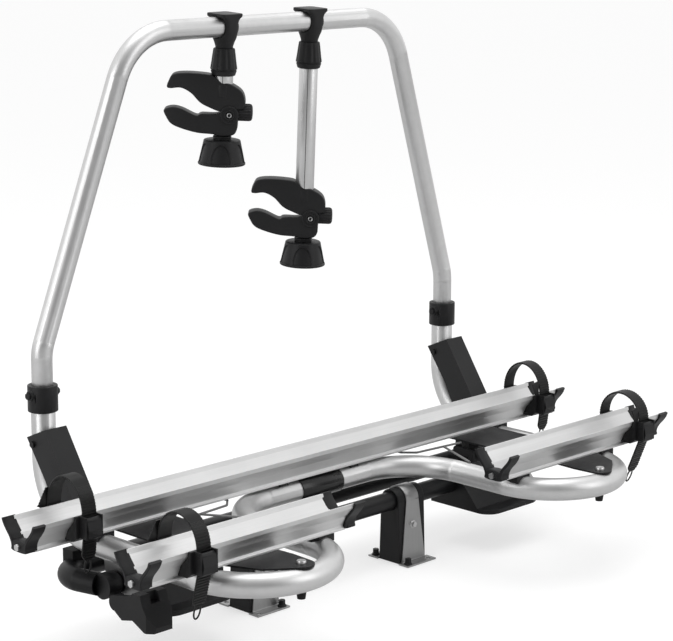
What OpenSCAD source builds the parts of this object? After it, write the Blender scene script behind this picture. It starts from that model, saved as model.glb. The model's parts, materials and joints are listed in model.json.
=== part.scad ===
// Tilting two-bike rack for the drawbar of a caravan or motorhome trailer.
// Millimetres. X runs across the rack, Y points to the caravan, Z is up.
// The origin lies under the pivot tube, midway between the two feet.

/* [Pivot tube and feet] */
// Outer diameter of the pivot tube
pivot_d = 34; // [30:1:38]
// Wall of the pivot tube
pivot_wall = 3; // [2:0.5:4]
// Height of the pivot tube's axis above the bottoms of the feet
pivot_z = 115; // [108:1:120]
// Half length of the pivot tube
pivot_half = 497; // [494:1:500]
// Running clearance all round a turning or sliding fit
run_fit = 0.1; // [0.05:0.01:0.1]
// Distance of each foot from the middle
foot_x = 185; // [176:1:190]
// Width of the black foot block along X
foot_block_w = 68; // [64:1:72]
// Depth of the foot at its bottom
foot_base_d = 52; // [48:1:56]
// Thickness of the bent foot strap
foot_sheet = 3; // [2:0.5:4]
// Width of the foot strap's flanges along X
flange_w = 75; // [73:1:80]
// Length of each flange away from the leg
flange_len = 21; // [18:1:25]
// Diameter of the four drawbar bolt holes
foot_hole_d = 8.5; // [6:0.5:9]
// Distance between the two holes of one flange
flange_hole_pitch = 54; // [50:1:56]

/* [Rear tube and end caps] */
// Diameter of the rear support tube
rear_d = 38; // [34:1:40]
// Wall of the rear support tube
rear_wall = 3; // [2:0.5:4]
// Distance of the rear tube behind the pivot axis
rear_y = 105; // [98:1:112]
// Distance of the rear tube's corners outside the pivot tube's ends
rear_corner_out = 38; // [34:1:43]
// Distance of the rear tube's ends outside the pivot tube's ends
rear_end_out = 15; // [14:1:19]
// Bend radius at the rear tube's corners
rear_bend_r = 45; // [40:1:60]
// Diameter of the end caps
cap_d = 43; // [40:1:44]
// Length of the end caps
cap_len = 26; // [24:1:30]

/* [Platform tube] */
// Outer diameter of the bent platform tube
platform_d = 40; // [40:0.5:42]
// Height of the platform tube's axis above the pivot axis
platform_rise = 54; // [52:1:60]
// Distance of the middle bar behind the pivot axis
bar_y = 37; // [35:1:40]
// Distance of the inner members from the middle
inner_x = 241.5; // [236:0.5:246]
// Distance of the outer members inside the pivot tube's ends
outer_in = 10.5; // [8:0.5:12]
// Bend radius between the middle bar and the inner members
notch_r = 120; // [100:1:130]
// Distance of the loop centres in front of the pivot axis
loop_y = 193; // [188:1:200]
// Distance of the uprights behind the pivot axis
upright_y = 180; // [170:1:190]
// Radius of the bends up to the uprights
upright_r = 120; // [110:1:130]
// Height of the sleeve ends above the platform tube's axis
sleeve_h = 219; // [215:1:230]
// Length of the plastic grip on the middle bar
grip_len = 100; // [80:1:120]
// Wall of the plastic grip
grip_wall = 1.5; // [1:0.1:2]

/* [Hoop] */
// Outer diameter of the hoop tube
hoop_d = 35; // [34:0.5:35.5]
// Wall of the hoop tube
hoop_wall = 2; // [1.5:0.1:3]
// Height of the hoop's lower bends above the feet
hoop_bend_z = 466; // [455:1:480]
// Height of the hoop's top bar above the feet
hoop_top_z = 973; // [940:1:1000]
// Half spacing of the hoop's upper corners
hoop_top_x = 308; // [295:1:320]
// How far the top bar leans forward of the uprights
hoop_lean = 24; // [10:1:35]
// Bend radius of the lower corners
hoop_low_r = 90; // [70:1:120]
// Bend radius of the upper corners
hoop_top_r = 110; // [90:1:120]
// Length of hoop held inside each sleeve
hoop_insert = 66; // [55:1:70]
// Height of the clamp collars
collar_h = 44; // [40:1:48]
// Outer diameter of the clamp collars
collar_d = 50; // [48:1:52]

/* [Wheel rails] */
// Height of a rail
rail_h = 49; // [46:1:54]
// Width of a rail across its lips
rail_w = 76; // [70:1:80]
// Wall of a rail, measured level
rail_wall = 2.4; // [2:0.1:3]
// Length of the rear rail outside each outer member
rear_rail_over = 141.5; // [131.5:5:161.5]
// Distance of the rear rail behind the pivot axis
rear_rail_y = 40; // [38:1:44]
// Distance of the front rails in front of the pivot axis
front_rail_y = 218; // [212:1:224]
// Length of the front rails outside the outer members
front_rail_over = 126.5; // [116.5:0.5:141.5]
// Length of the front rails inside the inner members
front_rail_lap = 41.5; // [36.5:0.5:51.5]
// Thickness of the bracket plates under the rails
plate_t = 3; // [2:0.5:4]
// Wall of the plastic rail caps
rail_cap_wall = 3; // [2:0.5:4]
// Length of a rail cap over the rail
rail_cap_grip = 10; // [8:1:14]
// Length of a rail cap beyond the rail
rail_cap_out = 20; // [16:1:24]

/* [Wheel straps] */
// Places of the rear left, front left, rear right and front right strap on the rail's free end, as shares
strap_place_shares = [0.266, 0.138, 0.698, 0.395]; // [0:0.001:1]
// Width of the toothed strap
strap_w = 28; // [24:1:32]
// Thickness of the toothed strap
strap_t = 3; // [2:0.5:4]
// Heights of the arches above the rail lips, in the order of the places
arch_h = [56, 51, 56, 47]; // [45:1:70]
// Hanging lengths below the rail lips, in the order of the places
strap_tail = [100, 116, 96, 125]; // [90:1:130]
// How far the hanging ends lean in under the rail, in the order of the places
tail_lean = [8, 20, 8, 34]; // [0:1:40]
// Width of the wedge beside the buckle
wedge_w = 8; // [6:1:12]
// Width of the ratchet buckle
buckle_w = 34; // [32:1:38]

/* [Bike holders] */
// Places of the two holders along the top bar
holder_x = [-100, 103]; // [-105:1:105]
// Lengths of the two arms from the bar's axis to the jaw pivots
holder_len = [149, 352]; // [140:1:360]
// Diameter of the holder arms
arm_d = 33; // [30:0.5:34]
// Wall of the holder arms
arm_wall = 2; // [1.5:0.1:3]
// Reach of the jaws from the jaw pivot
jaw_reach = 109; // [100:1:115]
// Thickness of the jaws
jaw_t = 34; // [30:1:38]
// Diameter of the clamping knobs at the bottom
knob_d = 82; // [76:1:88]
// Height of the clamping knobs
knob_h = 43; // [40:1:48]
// Length of the bar clamps along the bar
clamp_w = 47; // [44:1:50]
// Level angle of the jaws from the X axis
jaw_heading = 135; // [0:1:180]

/* [Foot pedal] */
// Width of the pedal pad along X
pedal_w = 54; // [48:1:54]
// Distance of the pedal's outer face outside the pivot tube's end
pedal_out = 27; // [24:1:33]
// Distance of the pedal's pivot in front of the pivot axis
pedal_pivot_y = 40; // [38:1:44]
// Depth of the pedal's pivot below the pivot axis
pedal_drop = 16; // [12:1:18]

/* [Hidden] */
$fn = 64;

// Clearance between solids that pass each other
gap = 0.4;
// Overrun of every cut
cut = 1;
// Colours
alloy = [0.74, 0.75, 0.76];
steel = [0.55, 0.56, 0.57];
black = [0.12, 0.12, 0.13];
rubber = [0.08, 0.08, 0.08];

// Levels and places that follow from the sizes above
outer_x = pivot_half - outer_in;
platform_z = pivot_z + platform_rise;
platform_top = platform_z + platform_d/2;
platform_wall = (platform_d - hoop_d)/2 - run_fit;
sleeve_top = platform_z + sleeve_h;
loop_x = (inner_x + outer_x)/2;
loop_r = (outer_x - inner_x)/2;
rail_z = platform_top + plate_t;
rail_top = rail_z + rail_h;
hoop_top_y = upright_y - hoop_lean;
rear_rail_len = 2*(outer_x + rear_rail_over);
front_rail_out = outer_x + front_rail_over;
front_rail_in = inner_x - front_rail_lap;
front_rail_len = front_rail_out - front_rail_in;
// Where the rails cross the platform tube, with the middle pair beside the grip
middle_saddle_share = 0.36;
loop_edge_x = loop_x + sqrt(pow(loop_r, 2) - pow(front_rail_y - loop_y, 2));
loop_inner_x = loop_x - sqrt(pow(loop_r, 2) - pow(front_rail_y - loop_y, 2));
saddle_w = 34;
small_saddle_w = 20;
// Place along X, place along Y and width of each saddle
saddle_places = [for (s = [-1, 1]) each [
  [s*outer_x, rear_rail_y, saddle_w], [s*inner_x*middle_saddle_share, bar_y, small_saddle_w],
  [s*loop_inner_x, -front_rail_y, saddle_w], [s*loop_edge_x, -front_rail_y, saddle_w]]];

// Hexagon bolts: across flats, head height and shank
bolt_af = 10;
bolt_head = 4;
bolt_d = 6;

// Bends

function unit(v) = v/norm(v);
function turn(p, i) = acos(unit(p[i] - p[i-1])*unit(p[i+1] - p[i]));
function trim(p, r, i) = i == 0 || i == len(p) - 1 ? 0 : r[i]*tan(turn(p, i)/2);
function mirrored(v) = [-v[0], v[1], v[2]];
function backwards(p) = [for (i = [len(p) - 1:-1:0]) p[i]];
function level(v) = abs(unit(v)[2]) > 0.9 ? [1, 0, 0] : [0, 0, 1];

// Puts its child at o with the child's axes along x, y and z
module placed(o, x, y, z)
  multmatrix([[x[0], y[0], z[0], o[0]], [x[1], y[1], z[1], o[1]], [x[2], y[2], z[2], o[2]], [0, 0, 0, 1]])
    children();

module tube_section(d, wall)
  difference() {
    circle(d = d);
    if (wall > 0) circle(d = d - 2*wall);
  }

// A bent tube swells by this much at its bends
swell = 0.08;
// How far a straight stretch runs on into a bend of radius r, still inside its wall
function lap(p, r, i) = i == 0 || i == len(p) - 1 ? 0 : 0.7*sqrt(2*r[i]*swell);

// A tube through points p with bend radii r; wall 0 makes a solid bar
module pipe(p, r, d, wall = 0) {
  for (i = [0:len(p) - 2]) {
    way = unit(p[i+1] - p[i]);
    side = unit(cross(level(way), way));
    run = norm(p[i+1] - p[i]) - trim(p, r, i) - trim(p, r, i + 1);
    if (run > gap)
      placed(p[i] + way*(trim(p, r, i) - lap(p, r, i)), side, cross(way, side), way)
        linear_extrude(run + lap(p, r, i) + lap(p, r, i + 1)) tube_section(d, wall);
  }
  if (len(p) > 2)
    for (i = [1:len(p) - 2]) {
      way = unit(p[i] - p[i-1]);
      axis = unit(cross(way, p[i+1] - p[i]));
      inward = cross(axis, way);
      placed(p[i] - way*trim(p, r, i) + inward*r[i], -inward, way, axis)
        rotate_extrude(angle = turn(p, i)) translate([r[i], 0])
          tube_section(d + 2*swell, wall > 0 ? wall + 2*swell : 0);
    }
}

// Copies of a piece on the right and mirrored on the left
module both_sides() {
  children();
  mirror([1, 0, 0]) children();
}

// A profile drawn in (y, z), carried along +X over a length
module along_x(length) rotate([90, 0, 90]) linear_extrude(length) children();

module hex_head(af, h) cylinder(d = af/cos(30), h = h, $fn = 6);

// Pivot tube, rear tube and feet

module pivot_tube() color(black)
  translate([-pivot_half, 0, pivot_z]) rotate([0, 90, 0]) linear_extrude(2*pivot_half)
    tube_section(pivot_d, pivot_wall);

cap_lap = 6;
cap_in = pivot_half - cap_lap;
cap_plug = 18;
// The hinge cheeks turn on the pivot tube just inside the caps
cheek_t = 8;
cheek_play = 6;
cheek_x = cap_in - cheek_t - cheek_play;

module end_cap_body() translate([cap_in, 0, pivot_z]) rotate([0, 90, 0]) cylinder(d = cap_d, h = cap_len);

module tube_end_caps() color(black) both_sides() {
  difference() {
    end_cap_body();
    translate([cap_in - cut, 0, pivot_z]) rotate([0, 90, 0])
      cylinder(d = pivot_d, h = pivot_half - cap_in + cut);
  }
  translate([pivot_half - cap_plug, 0, pivot_z]) rotate([0, 90, 0])
    cylinder(d = pivot_d - 2*pivot_wall, h = cap_plug);
}

rear_end_y = 12;
rear_half = pivot_half + rear_corner_out;
rear_end_half = pivot_half + rear_end_out;
rear_path = [[-rear_end_half, rear_end_y, pivot_z], [-rear_half, rear_y, pivot_z],
             [rear_half, rear_y, pivot_z], [rear_end_half, rear_end_y, pivot_z]];

module rear_bar(d, wall = 0) pipe(rear_path, [0, rear_bend_r, rear_bend_r, 0], d, wall);

module rear_tube() color(black) difference() {
  rear_bar(rear_d, rear_wall);
  both_sides() end_cap_body();
}

// Outline of the bent foot strap in (y, z), grown outward by g from the block
foot_top_r = 22;
module foot_outline(g) {
  translate([0, pivot_z]) circle(r = foot_top_r + g);
  polygon([[-foot_base_d/2 - g, 0], [foot_base_d/2 + g, 0],
           [foot_top_r + g, pivot_z], [-foot_top_r - g, pivot_z]]);
}

module at_feet() for (s = [-1, 1]) translate([s*foot_x, 0, 0]) mirror([s < 0 ? 1 : 0, 0, 0]) children();

module foot_blocks() color(black) at_feet()
  translate([-foot_block_w/2, 0, 0]) along_x(foot_block_w) difference() {
    foot_outline(0);
    translate([0, pivot_z]) circle(d = pivot_d);
  }

strap_top_w = 32;
strap_foot_w = 60;
flange_tip = foot_base_d/2 + foot_sheet + flange_len;
flange_hole_in = 9.5;
flange_hole_y = flange_tip - flange_hole_in;

module foot_straps() color(steel) at_feet() difference() {
  intersection() {
    translate([-flange_w/2, 0, 0]) along_x(flange_w) {
      difference() {
        foot_outline(foot_sheet);
        foot_outline(0);
      }
      for (s = [-1, 1]) translate([s > 0 ? foot_base_d/2 : -flange_tip, 0])
        square([flange_tip - foot_base_d/2, foot_sheet]);
    }
    rotate([90, 0, 0]) linear_extrude(2*flange_tip + 2*cut, center = true)
      polygon([[-flange_w/2, 0], [flange_w/2, 0], [flange_w/2, foot_sheet], [strap_foot_w/2, foot_sheet],
               [strap_top_w/2, pivot_z], [strap_top_w/2, 2*pivot_z], [-strap_top_w/2, 2*pivot_z],
               [-strap_top_w/2, pivot_z], [-strap_foot_w/2, foot_sheet], [-flange_w/2, foot_sheet]]);
  }
  for (x = [-1, 1], y = [-1, 1])
    translate([x*flange_hole_pitch/2, y*flange_hole_y, -cut])
      cylinder(d = foot_hole_d, h = foot_sheet + 2*cut);
}

dome_h = 3;
module foot_bolts() color(black) at_feet() for (y = [-1, 1])
  translate([-flange_hole_pitch/2, y*flange_hole_y, 0]) {
    cylinder(d = foot_hole_d - 2*run_fit, h = foot_sheet);
    translate([0, 0, foot_sheet]) {
      cylinder(d1 = foot_hole_d + 2*bolt_head, d2 = foot_hole_d + bolt_head, h = dome_h);
      translate([0, 0, dome_h]) hex_head(bolt_af, 2*bolt_head);
    }
  }

// Clamp housings, one each side, carried on the pivot tube beside the cheeks' flanges
housing_w = 152;
housing_play = 5;
housing_out = cheek_x - cheek_t - housing_play;
housing_in = housing_out - housing_w;
housing_front = 100;
housing_back = 45;
housing_drop = 43;
housing_floor = pivot_z - housing_drop;
housing_t = 8;
housing_corner_r = 30;
saddle_half = 28;
housing_bolt_in = 63;
housing_bolt_x = housing_in + housing_bolt_in;
washer_d = 46;
washer_t = 7;

module clamp_housings() color(black) both_sides() difference() {
  union() {
    translate([0, 0, housing_floor]) linear_extrude(housing_t) {
      translate([housing_in, -housing_front + housing_corner_r])
        square([housing_out - housing_in, housing_back + housing_front - housing_corner_r]);
      translate([housing_in + housing_corner_r, -housing_front])
        square([housing_out - housing_in - 2*housing_corner_r, housing_corner_r]);
      for (x = [housing_in + housing_corner_r, housing_out - housing_corner_r])
        translate([x, -housing_front + housing_corner_r]) circle(r = housing_corner_r);
    }
    translate([housing_in, 0, 0]) along_x(housing_out - housing_in)
      polygon([[-housing_front + housing_corner_r, housing_floor + housing_t],
               [-saddle_half, pivot_z + saddle_half/2],
               [-saddle_half/2, pivot_z + saddle_half - housing_t],
               [saddle_half/2, pivot_z + saddle_half - housing_t],
               [saddle_half, pivot_z + saddle_half/2],
               [housing_back, housing_floor + housing_t]]);
  }
  translate([0, 0, pivot_z]) rotate([0, 90, 0]) cylinder(d = pivot_d, h = 2*housing_out);
  translate([housing_in + housing_t, 0, 0]) along_x(housing_out - housing_in - 2*housing_t)
    polygon([[-housing_front + housing_corner_r + housing_t, housing_floor - cut],
             [-saddle_half - housing_t/2, pivot_z - housing_t],
             [-pivot_d/2 - housing_t/2, pivot_z - housing_t],
             [-pivot_d/2 - housing_t/2, housing_floor - cut]]);
  translate([housing_bolt_x, 0, housing_floor - cut])
    cylinder(d = bolt_d + 2*run_fit, h = pivot_z - housing_floor);
}

module housing_bolts() color(black) both_sides() translate([housing_bolt_x, 0, housing_floor]) {
  translate([0, 0, -washer_t]) cylinder(d = washer_d, h = washer_t);
  translate([0, 0, -washer_t - bolt_head]) hex_head(2*bolt_af, bolt_head);
  translate([0, 0, -washer_t - bolt_head - bolt_d]) cylinder(d = 2*bolt_d, h = bolt_d);
  cylinder(d = bolt_d, h = pivot_z - pivot_d/2 - housing_floor);
}

pad_w = 30;
pad_d = 26;
module rest_pads() color(rubber) both_sides() difference() {
  translate([outer_x - pad_w/2, rear_y - pad_d/2, pivot_z + rear_d/4])
    cube([pad_w, pad_d, platform_z - platform_d/2 - gap - pivot_z - rear_d/4]);
  rear_bar(rear_d);
}

// The platform: one bent tube with two loops, its grip and its fittings

platform_path = [[0, bar_y, platform_z], [inner_x, bar_y, platform_z],
                 [inner_x, -loop_y - loop_r, platform_z], [outer_x, -loop_y - loop_r, platform_z],
                 [outer_x, upright_y, platform_z], [outer_x, upright_y, sleeve_top]];
platform_bends = [0, notch_r, loop_r, loop_r, upright_r, 0];

module platform_bar(d, wall = 0) both_sides() pipe(platform_path, platform_bends, d, wall);

module platform_tube() color(alloy) difference() {
  platform_bar(platform_d, platform_wall);
  for (p = saddle_places) translate([p[0], p[1], platform_z])
    cylinder(d = bolt_d + 2*run_fit, h = platform_d);
  both_sides() translate([eye_x, -eye_y, platform_z - platform_d])
    cylinder(d = bolt_d + 2*run_fit, h = 2*platform_d);
  both_sides() translate([outer_x - platform_d, brace_bolt_y, brace_bolt_z]) rotate([0, 90, 0])
    cylinder(d = bolt_d + 2*run_fit, h = 2*platform_d);
}

module grip_sleeve() color(rubber) translate([-grip_len/2, bar_y, platform_z]) rotate([0, 90, 0])
  linear_extrude(grip_len) tube_section(platform_d + 2*grip_wall, grip_wall);

// Rail section: shares of the rail's height and half width, from the foot up
rail_shares = [[0, 0.42], [0.07, 0.42], [0.14, 0.34], [0.28, 0.42],
               [0.5, 0.55], [0.66, 0.76], [0.84, 0.95], [1, 1]];
trough_floor_share = 0.18;
trough_floor = rail_h*trough_floor_share;
slot_w = 10;
slot_lip = 2;
slot_cavity = 20;

function rail_side(grow, first) = [for (i = [first:len(rail_shares) - 1])
  [rail_w/2*rail_shares[i][1] + grow, rail_h*rail_shares[i][0]]];
function flipped(p) = [for (i = [len(p) - 1:-1:0]) [-p[i][0], p[i][1]]];
function rail_outline(grow) = concat(rail_side(grow, 0), flipped(rail_side(grow, 0)));
function trough_side() = concat([[rail_w/2*rail_shares[2][1] - rail_wall, trough_floor]],
  rail_side(-rail_wall, 3), [[rail_w/2 - rail_wall, rail_h + cut]]);
function trough_outline() = concat(trough_side(), flipped(trough_side()));

module rail_section() difference() {
  polygon(rail_outline(0));
  polygon(trough_outline());
  translate([-slot_w/2, -cut]) square([slot_w, slot_lip + 2*cut]);
  translate([-slot_cavity/2, slot_lip]) square([slot_cavity, trough_floor - 2*slot_lip]);
}

module wheel_rail(x, y, length) color(alloy) difference() {
  translate([x, y, rail_z]) along_x(length) rail_section();
  for (p = saddle_places) translate([p[0], p[1], rail_z - cut])
    cylinder(d = bolt_d + 2*run_fit, h = trough_floor + 2*cut);
}

module rear_rail() wheel_rail(-rear_rail_len/2, rear_rail_y, rear_rail_len);
module front_rail_left() wheel_rail(-front_rail_out, -front_rail_y, front_rail_len);
module front_rail_right() wheel_rail(front_rail_in, -front_rail_y, front_rail_len);

// Rail ends: place along X, place along Y and the way that the end faces
rail_ends = [[-rear_rail_len/2, rear_rail_y, -1], [rear_rail_len/2, rear_rail_y, 1],
             [-front_rail_out, -front_rail_y, -1], [front_rail_out, -front_rail_y, 1],
             [-front_rail_in, -front_rail_y, 1], [front_rail_in, -front_rail_y, -1]];
cap_base_w = 32;
cap_base_h = 20;
cap_bolt_z = 9;

module at_rail_ends() for (e = rail_ends)
  translate([e[0], e[1], rail_z]) mirror([e[2] < 0 ? 1 : 0, 0, 0]) children();

module rail_end_caps() color(black) at_rail_ends() difference() {
  union() {
    translate([-rail_cap_grip, 0, 0]) along_x(rail_cap_grip) difference() {
      polygon(rail_outline(rail_cap_wall));
      polygon(rail_outline(0));
      translate([-rail_w, -cut]) square([2*rail_w, cut]);
    }
    along_x(rail_cap_out) difference() {
      union() {
        polygon(rail_outline(rail_cap_wall));
        translate([-cap_base_w/2, 0]) square([cap_base_w, cap_base_h]);
      }
      intersection() {
        polygon(trough_outline());
        translate([-rail_w, cap_base_h]) square([2*rail_w, rail_h]);
      }
    }
  }
  translate([-cut, 0, cap_bolt_z]) rotate([0, 90, 0])
    cylinder(d = bolt_d + 2*run_fit, h = rail_cap_out + 2*cut);
}

module rail_cap_bolts() color(steel) at_rail_ends()
  translate([rail_cap_out, 0, cap_bolt_z]) rotate([0, 90, 0]) {
    hex_head(bolt_af, bolt_head);
    translate([0, 0, -rail_cap_out]) cylinder(d = bolt_d, h = rail_cap_out);
  }

saddle_h = 12;
module rail_saddles() color(black) difference() {
  for (p = saddle_places) translate([p[0] - p[2]/2, p[1] - p[2]/2, rail_z - saddle_h])
    cube([p[2], p[2], saddle_h]);
  platform_bar(platform_d);
  for (p = saddle_places) translate([p[0], p[1], rail_z - 2*saddle_h])
    cylinder(d = bolt_d + 2*run_fit, h = 3*saddle_h);
}

module saddle_bolts() color(steel) for (p = saddle_places) translate([p[0], p[1], 0]) {
  translate([0, 0, rail_z + trough_floor]) hex_head(bolt_af, bolt_head);
  translate([0, 0, platform_top - 2*platform_wall])
    cylinder(d = bolt_d, h = rail_z + trough_floor - platform_top + 2*platform_wall);
}

// Loop plates lie on the loops under the front rails; their eyes take the stud bolts
eye_shift = 6;
eye_inset = 9.5;
eye_x = loop_x + eye_shift;
eye_y = loop_y + loop_r - eye_inset;
eye_r = 21;
plate_lap = 10;
plate_back = front_rail_y - rail_w/2 + plate_lap;
plate_play = 9.5;
plate_w = 105;
plate_out = outer_x - platform_d/2 - plate_play;
plate_in = plate_out - plate_w;

module loop_plates() color(black) both_sides() difference() {
  translate([0, 0, platform_top]) linear_extrude(plate_t) {
    polygon([[plate_in, -plate_back], [plate_out, -plate_back], [plate_out + eye_r/4, -front_rail_y],
             [eye_x + 3*eye_r, -eye_y + eye_r], [eye_x + eye_r/2, -eye_y - 0.87*eye_r],
             [eye_x - eye_r, -eye_y], [plate_in - eye_r/4, -eye_y + 2*eye_r]]);
    translate([eye_x, -eye_y]) circle(r = eye_r);
  }
  translate([eye_x, -eye_y, platform_top - cut]) cylinder(d = bolt_d + 2*run_fit, h = plate_t + 2*cut);
}

stud_d = 20;
stud_h = 14;
module rubber_studs() color(rubber) both_sides() translate([eye_x, -eye_y, 0]) {
  difference() {
    translate([0, 0, platform_z - platform_d/2 - stud_h]) cylinder(d1 = stud_d - stud_h/2, d2 = stud_d,
      h = stud_h + platform_d/4);
    translate([-eye_x, eye_y, 0]) platform_bar(platform_d);
  }
  translate([0, 0, platform_z - platform_d/2]) cylinder(d = bolt_d, h = platform_d + plate_t);
  translate([0, 0, platform_top + plate_t]) cylinder(d = stud_d - 2*plate_t, h = bolt_head);
}

rear_plate_play = 4.5;
rear_plate_w = 116;
rear_plate_out = outer_x - platform_d/2 - rear_plate_play;
rear_plate_in = rear_plate_out - rear_plate_w;
rear_plate_front = 65;
hook_pin_y = 8;
hook_lug_t = 6;
hook_drop = 16;
hook_pin_d = 8;
hook_z = platform_top - hook_drop;

// Each rear plate hangs from the rear rail and carries the lug of a latch hook
module rear_plates() color(black) both_sides() difference() {
  union() {
    translate([rear_plate_in, -rear_plate_front, platform_top])
      cube([rear_plate_out - rear_plate_in, rear_plate_front + rear_rail_y + rail_w/4, plate_t]);
    translate([rear_plate_in, 0, 0]) along_x(hook_lug_t) {
      translate([hook_pin_y - hook_drop/2, hook_z]) square([hook_drop, platform_top - hook_z]);
      translate([hook_pin_y, hook_z]) circle(d = hook_drop);
    }
  }
  translate([rear_plate_in - cut, hook_pin_y, hook_z]) rotate([0, 90, 0])
    cylinder(d = hook_pin_d + 2*run_fit, h = hook_lug_t + 2*cut);
}

hook_t = 6;
hook_reach = 40;
module latch_hooks() color(black) both_sides() {
  translate([rear_plate_in - gap - hook_t, 0, 0]) along_x(hook_t) {
    translate([hook_pin_y, hook_z]) circle(d = hook_drop);
    polygon([[hook_pin_y, hook_z + hook_drop/2], [hook_pin_y - hook_reach, hook_z + hook_drop/4],
             [hook_pin_y - hook_reach - hook_drop/4, hook_z - hook_drop],
             [hook_pin_y - hook_reach + hook_drop, hook_z - 1.3*hook_drop],
             [hook_pin_y - hook_reach + hook_drop/2, hook_z - hook_drop/2],
             [hook_pin_y, hook_z - hook_drop/2]]);
  }
  translate([rear_plate_in - gap - hook_t, hook_pin_y, hook_z]) rotate([0, 90, 0])
    cylinder(d = hook_pin_d, h = hook_t + gap + hook_lug_t + gap);
  translate([rear_plate_in + hook_lug_t + gap, hook_pin_y, hook_z]) rotate([0, 90, 0])
    cylinder(d = hook_pin_d + hook_t, h = hook_t/2);
}

cable_d = 4;
cable_play = 9;
cable_y = bar_y + platform_d/2 + cable_play;
cable_z = platform_top - cable_d/2;
cable_inset = 6.5;
cable_x = inner_x - platform_d/2 - cable_inset;
cable_corner_y = 12;
cable_lug_y = 2;
cable_bend = 20;
cable_corner = [cable_x + cable_bend, cable_corner_y, cable_z];
branch_share = 0.6;
cable_lug = [rear_plate_in, cable_lug_y, cable_z];
branch_start = cable_corner + branch_share*(cable_lug - cable_corner);

// One cable joins both latch hooks behind the middle bar; a branch each side ends on an inner member
module release_cable() color(rubber) {
  pipe([mirrored(cable_lug), mirrored(cable_corner), [-cable_x, cable_y/2, cable_z],
        [-cable_x, cable_y, cable_z], [cable_x, cable_y, cable_z], [cable_x, cable_y/2, cable_z],
        cable_corner, cable_lug],
       [0, cable_bend/2, cable_bend/4, cable_bend, cable_bend, cable_bend/4, cable_bend/2, 0], cable_d);
  both_sides() pipe([branch_start, [inner_x + cable_d, -0.9*notch_r, platform_top + cable_d/2]],
                    [0, 0], cable_d);
}

// Corner braces: folded channels over the bends to the uprights
brace_w = 44;
brace_sheet = 1.7;
brace_bolt_y = upright_y;
brace_bolt_z = platform_z + 1.2*upright_r;
// Corners of the side view as shares of the bend radius, from half a radius before the upright
brace_shares = [[0.233, 1.45], [0.642, 1.275], [0.25, 0.725], [0.1, 0.433], [0.067, 0.075], [-0.3, 0.075],
                [-0.333, 0.592]];

function brace_outline() = [for (s = brace_shares)
  [upright_y - upright_r/2 + s[0]*upright_r, platform_z + s[1]*upright_r]];

module corner_braces() color(black) both_sides() difference() {
  translate([outer_x - brace_w/2, 0, 0]) along_x(brace_w) polygon(brace_outline());
  translate([outer_x - brace_w/2 + brace_sheet, 0, 0]) along_x(brace_w - 2*brace_sheet)
    translate([2*brace_sheet, -brace_sheet]) polygon(brace_outline());
  platform_bar(platform_d);
  translate([outer_x - brace_w, brace_bolt_y, brace_bolt_z]) rotate([0, 90, 0])
    cylinder(d = bolt_d + 2*run_fit, h = 2*brace_w);
}

collar_z = sleeve_top - collar_h/2;
collar_boss_d = 17;
collar_boss_out = 28;
collar_screw_z = collar_z + 0.66*collar_h;

// Runs level from the middle of each upright, to both sides of it
module at_collar_screws() both_sides() for (s = [0, 180])
  translate([outer_x, upright_y, collar_screw_z]) rotate([0, 90, s]) children();

module hoop_collars() color(black) difference() {
  union() {
    both_sides() translate([outer_x, upright_y, collar_z]) cylinder(d = collar_d, h = collar_h);
    at_collar_screws() cylinder(d = collar_boss_d, h = collar_boss_out);
  }
  both_sides() translate([outer_x, upright_y, collar_z - cut]) {
    cylinder(d = platform_d, h = collar_h/2 + cut);
    cylinder(d = hoop_d + 2*run_fit, h = collar_h + 2*cut);
  }
  at_collar_screws() cylinder(d = bolt_d + 2*run_fit, h = collar_d);
}

// The collars' clamp screws and the braces' cross bolts
module upright_bolts() color(steel) {
  at_collar_screws() {
    translate([0, 0, collar_boss_out]) hex_head(bolt_af, bolt_head);
    translate([0, 0, hoop_d/2 + gap]) cylinder(d = bolt_d, h = collar_boss_out - hoop_d/2 - gap);
  }
  both_sides() translate([outer_x, brace_bolt_y, brace_bolt_z]) rotate([0, 90, 0]) {
    translate([0, 0, -brace_w/2 - bolt_head]) hex_head(bolt_af, bolt_head);
    translate([0, 0, -brace_w/2]) cylinder(d = bolt_d, h = brace_w);
    translate([0, 0, brace_w/2]) hex_head(bolt_af, bolt_head);
  }
}

// Hinge cheeks hang from the outer members and turn on the pivot tube
cheek_r = 27;
cheek_flange_t = 4;
cheek_flange_drop = 1.5;
cheek_flange_z = pivot_z - cap_d/2 - cheek_flange_t - cheek_flange_drop;
cheek_flange_front = 70;

module hinge_cheeks() color(alloy) both_sides() difference() {
  union() {
    translate([cheek_x, 0, 0]) along_x(cheek_t) {
      translate([0, pivot_z]) circle(r = cheek_r);
      polygon([[-cheek_r, pivot_z], [cheek_r, pivot_z], [cheek_r + platform_d/4, platform_z],
               [-cheek_r/2, platform_z]]);
      translate([-cheek_flange_front, cheek_flange_z]) square([cheek_flange_front, cheek_flange_t]);
      polygon([[-cheek_flange_front, cheek_flange_z + cheek_flange_t], [0, cheek_flange_z + cheek_flange_t],
               [0, pivot_z], [-cheek_r, pivot_z], [-pedal_pivot_y - bracket_r, pedal_pivot_z + bracket_r]]);
    }
    translate([cheek_x - cheek_t, -cheek_flange_front, cheek_flange_z])
      cube([4*cheek_t, cheek_flange_front - cheek_flange_t, cheek_flange_t]);
  }
  translate([cheek_x - cut, -pedal_pivot_y, pedal_pivot_z]) rotate([0, 90, 0])
    cylinder(d = pedal_pin_d + 2*run_fit, h = cheek_t + 2*cut);
  translate([0, 0, pivot_z]) rotate([0, 90, 0]) cylinder(d = pivot_d + 2*run_fit, h = 2*outer_x);
  platform_bar(platform_d);
}

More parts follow.
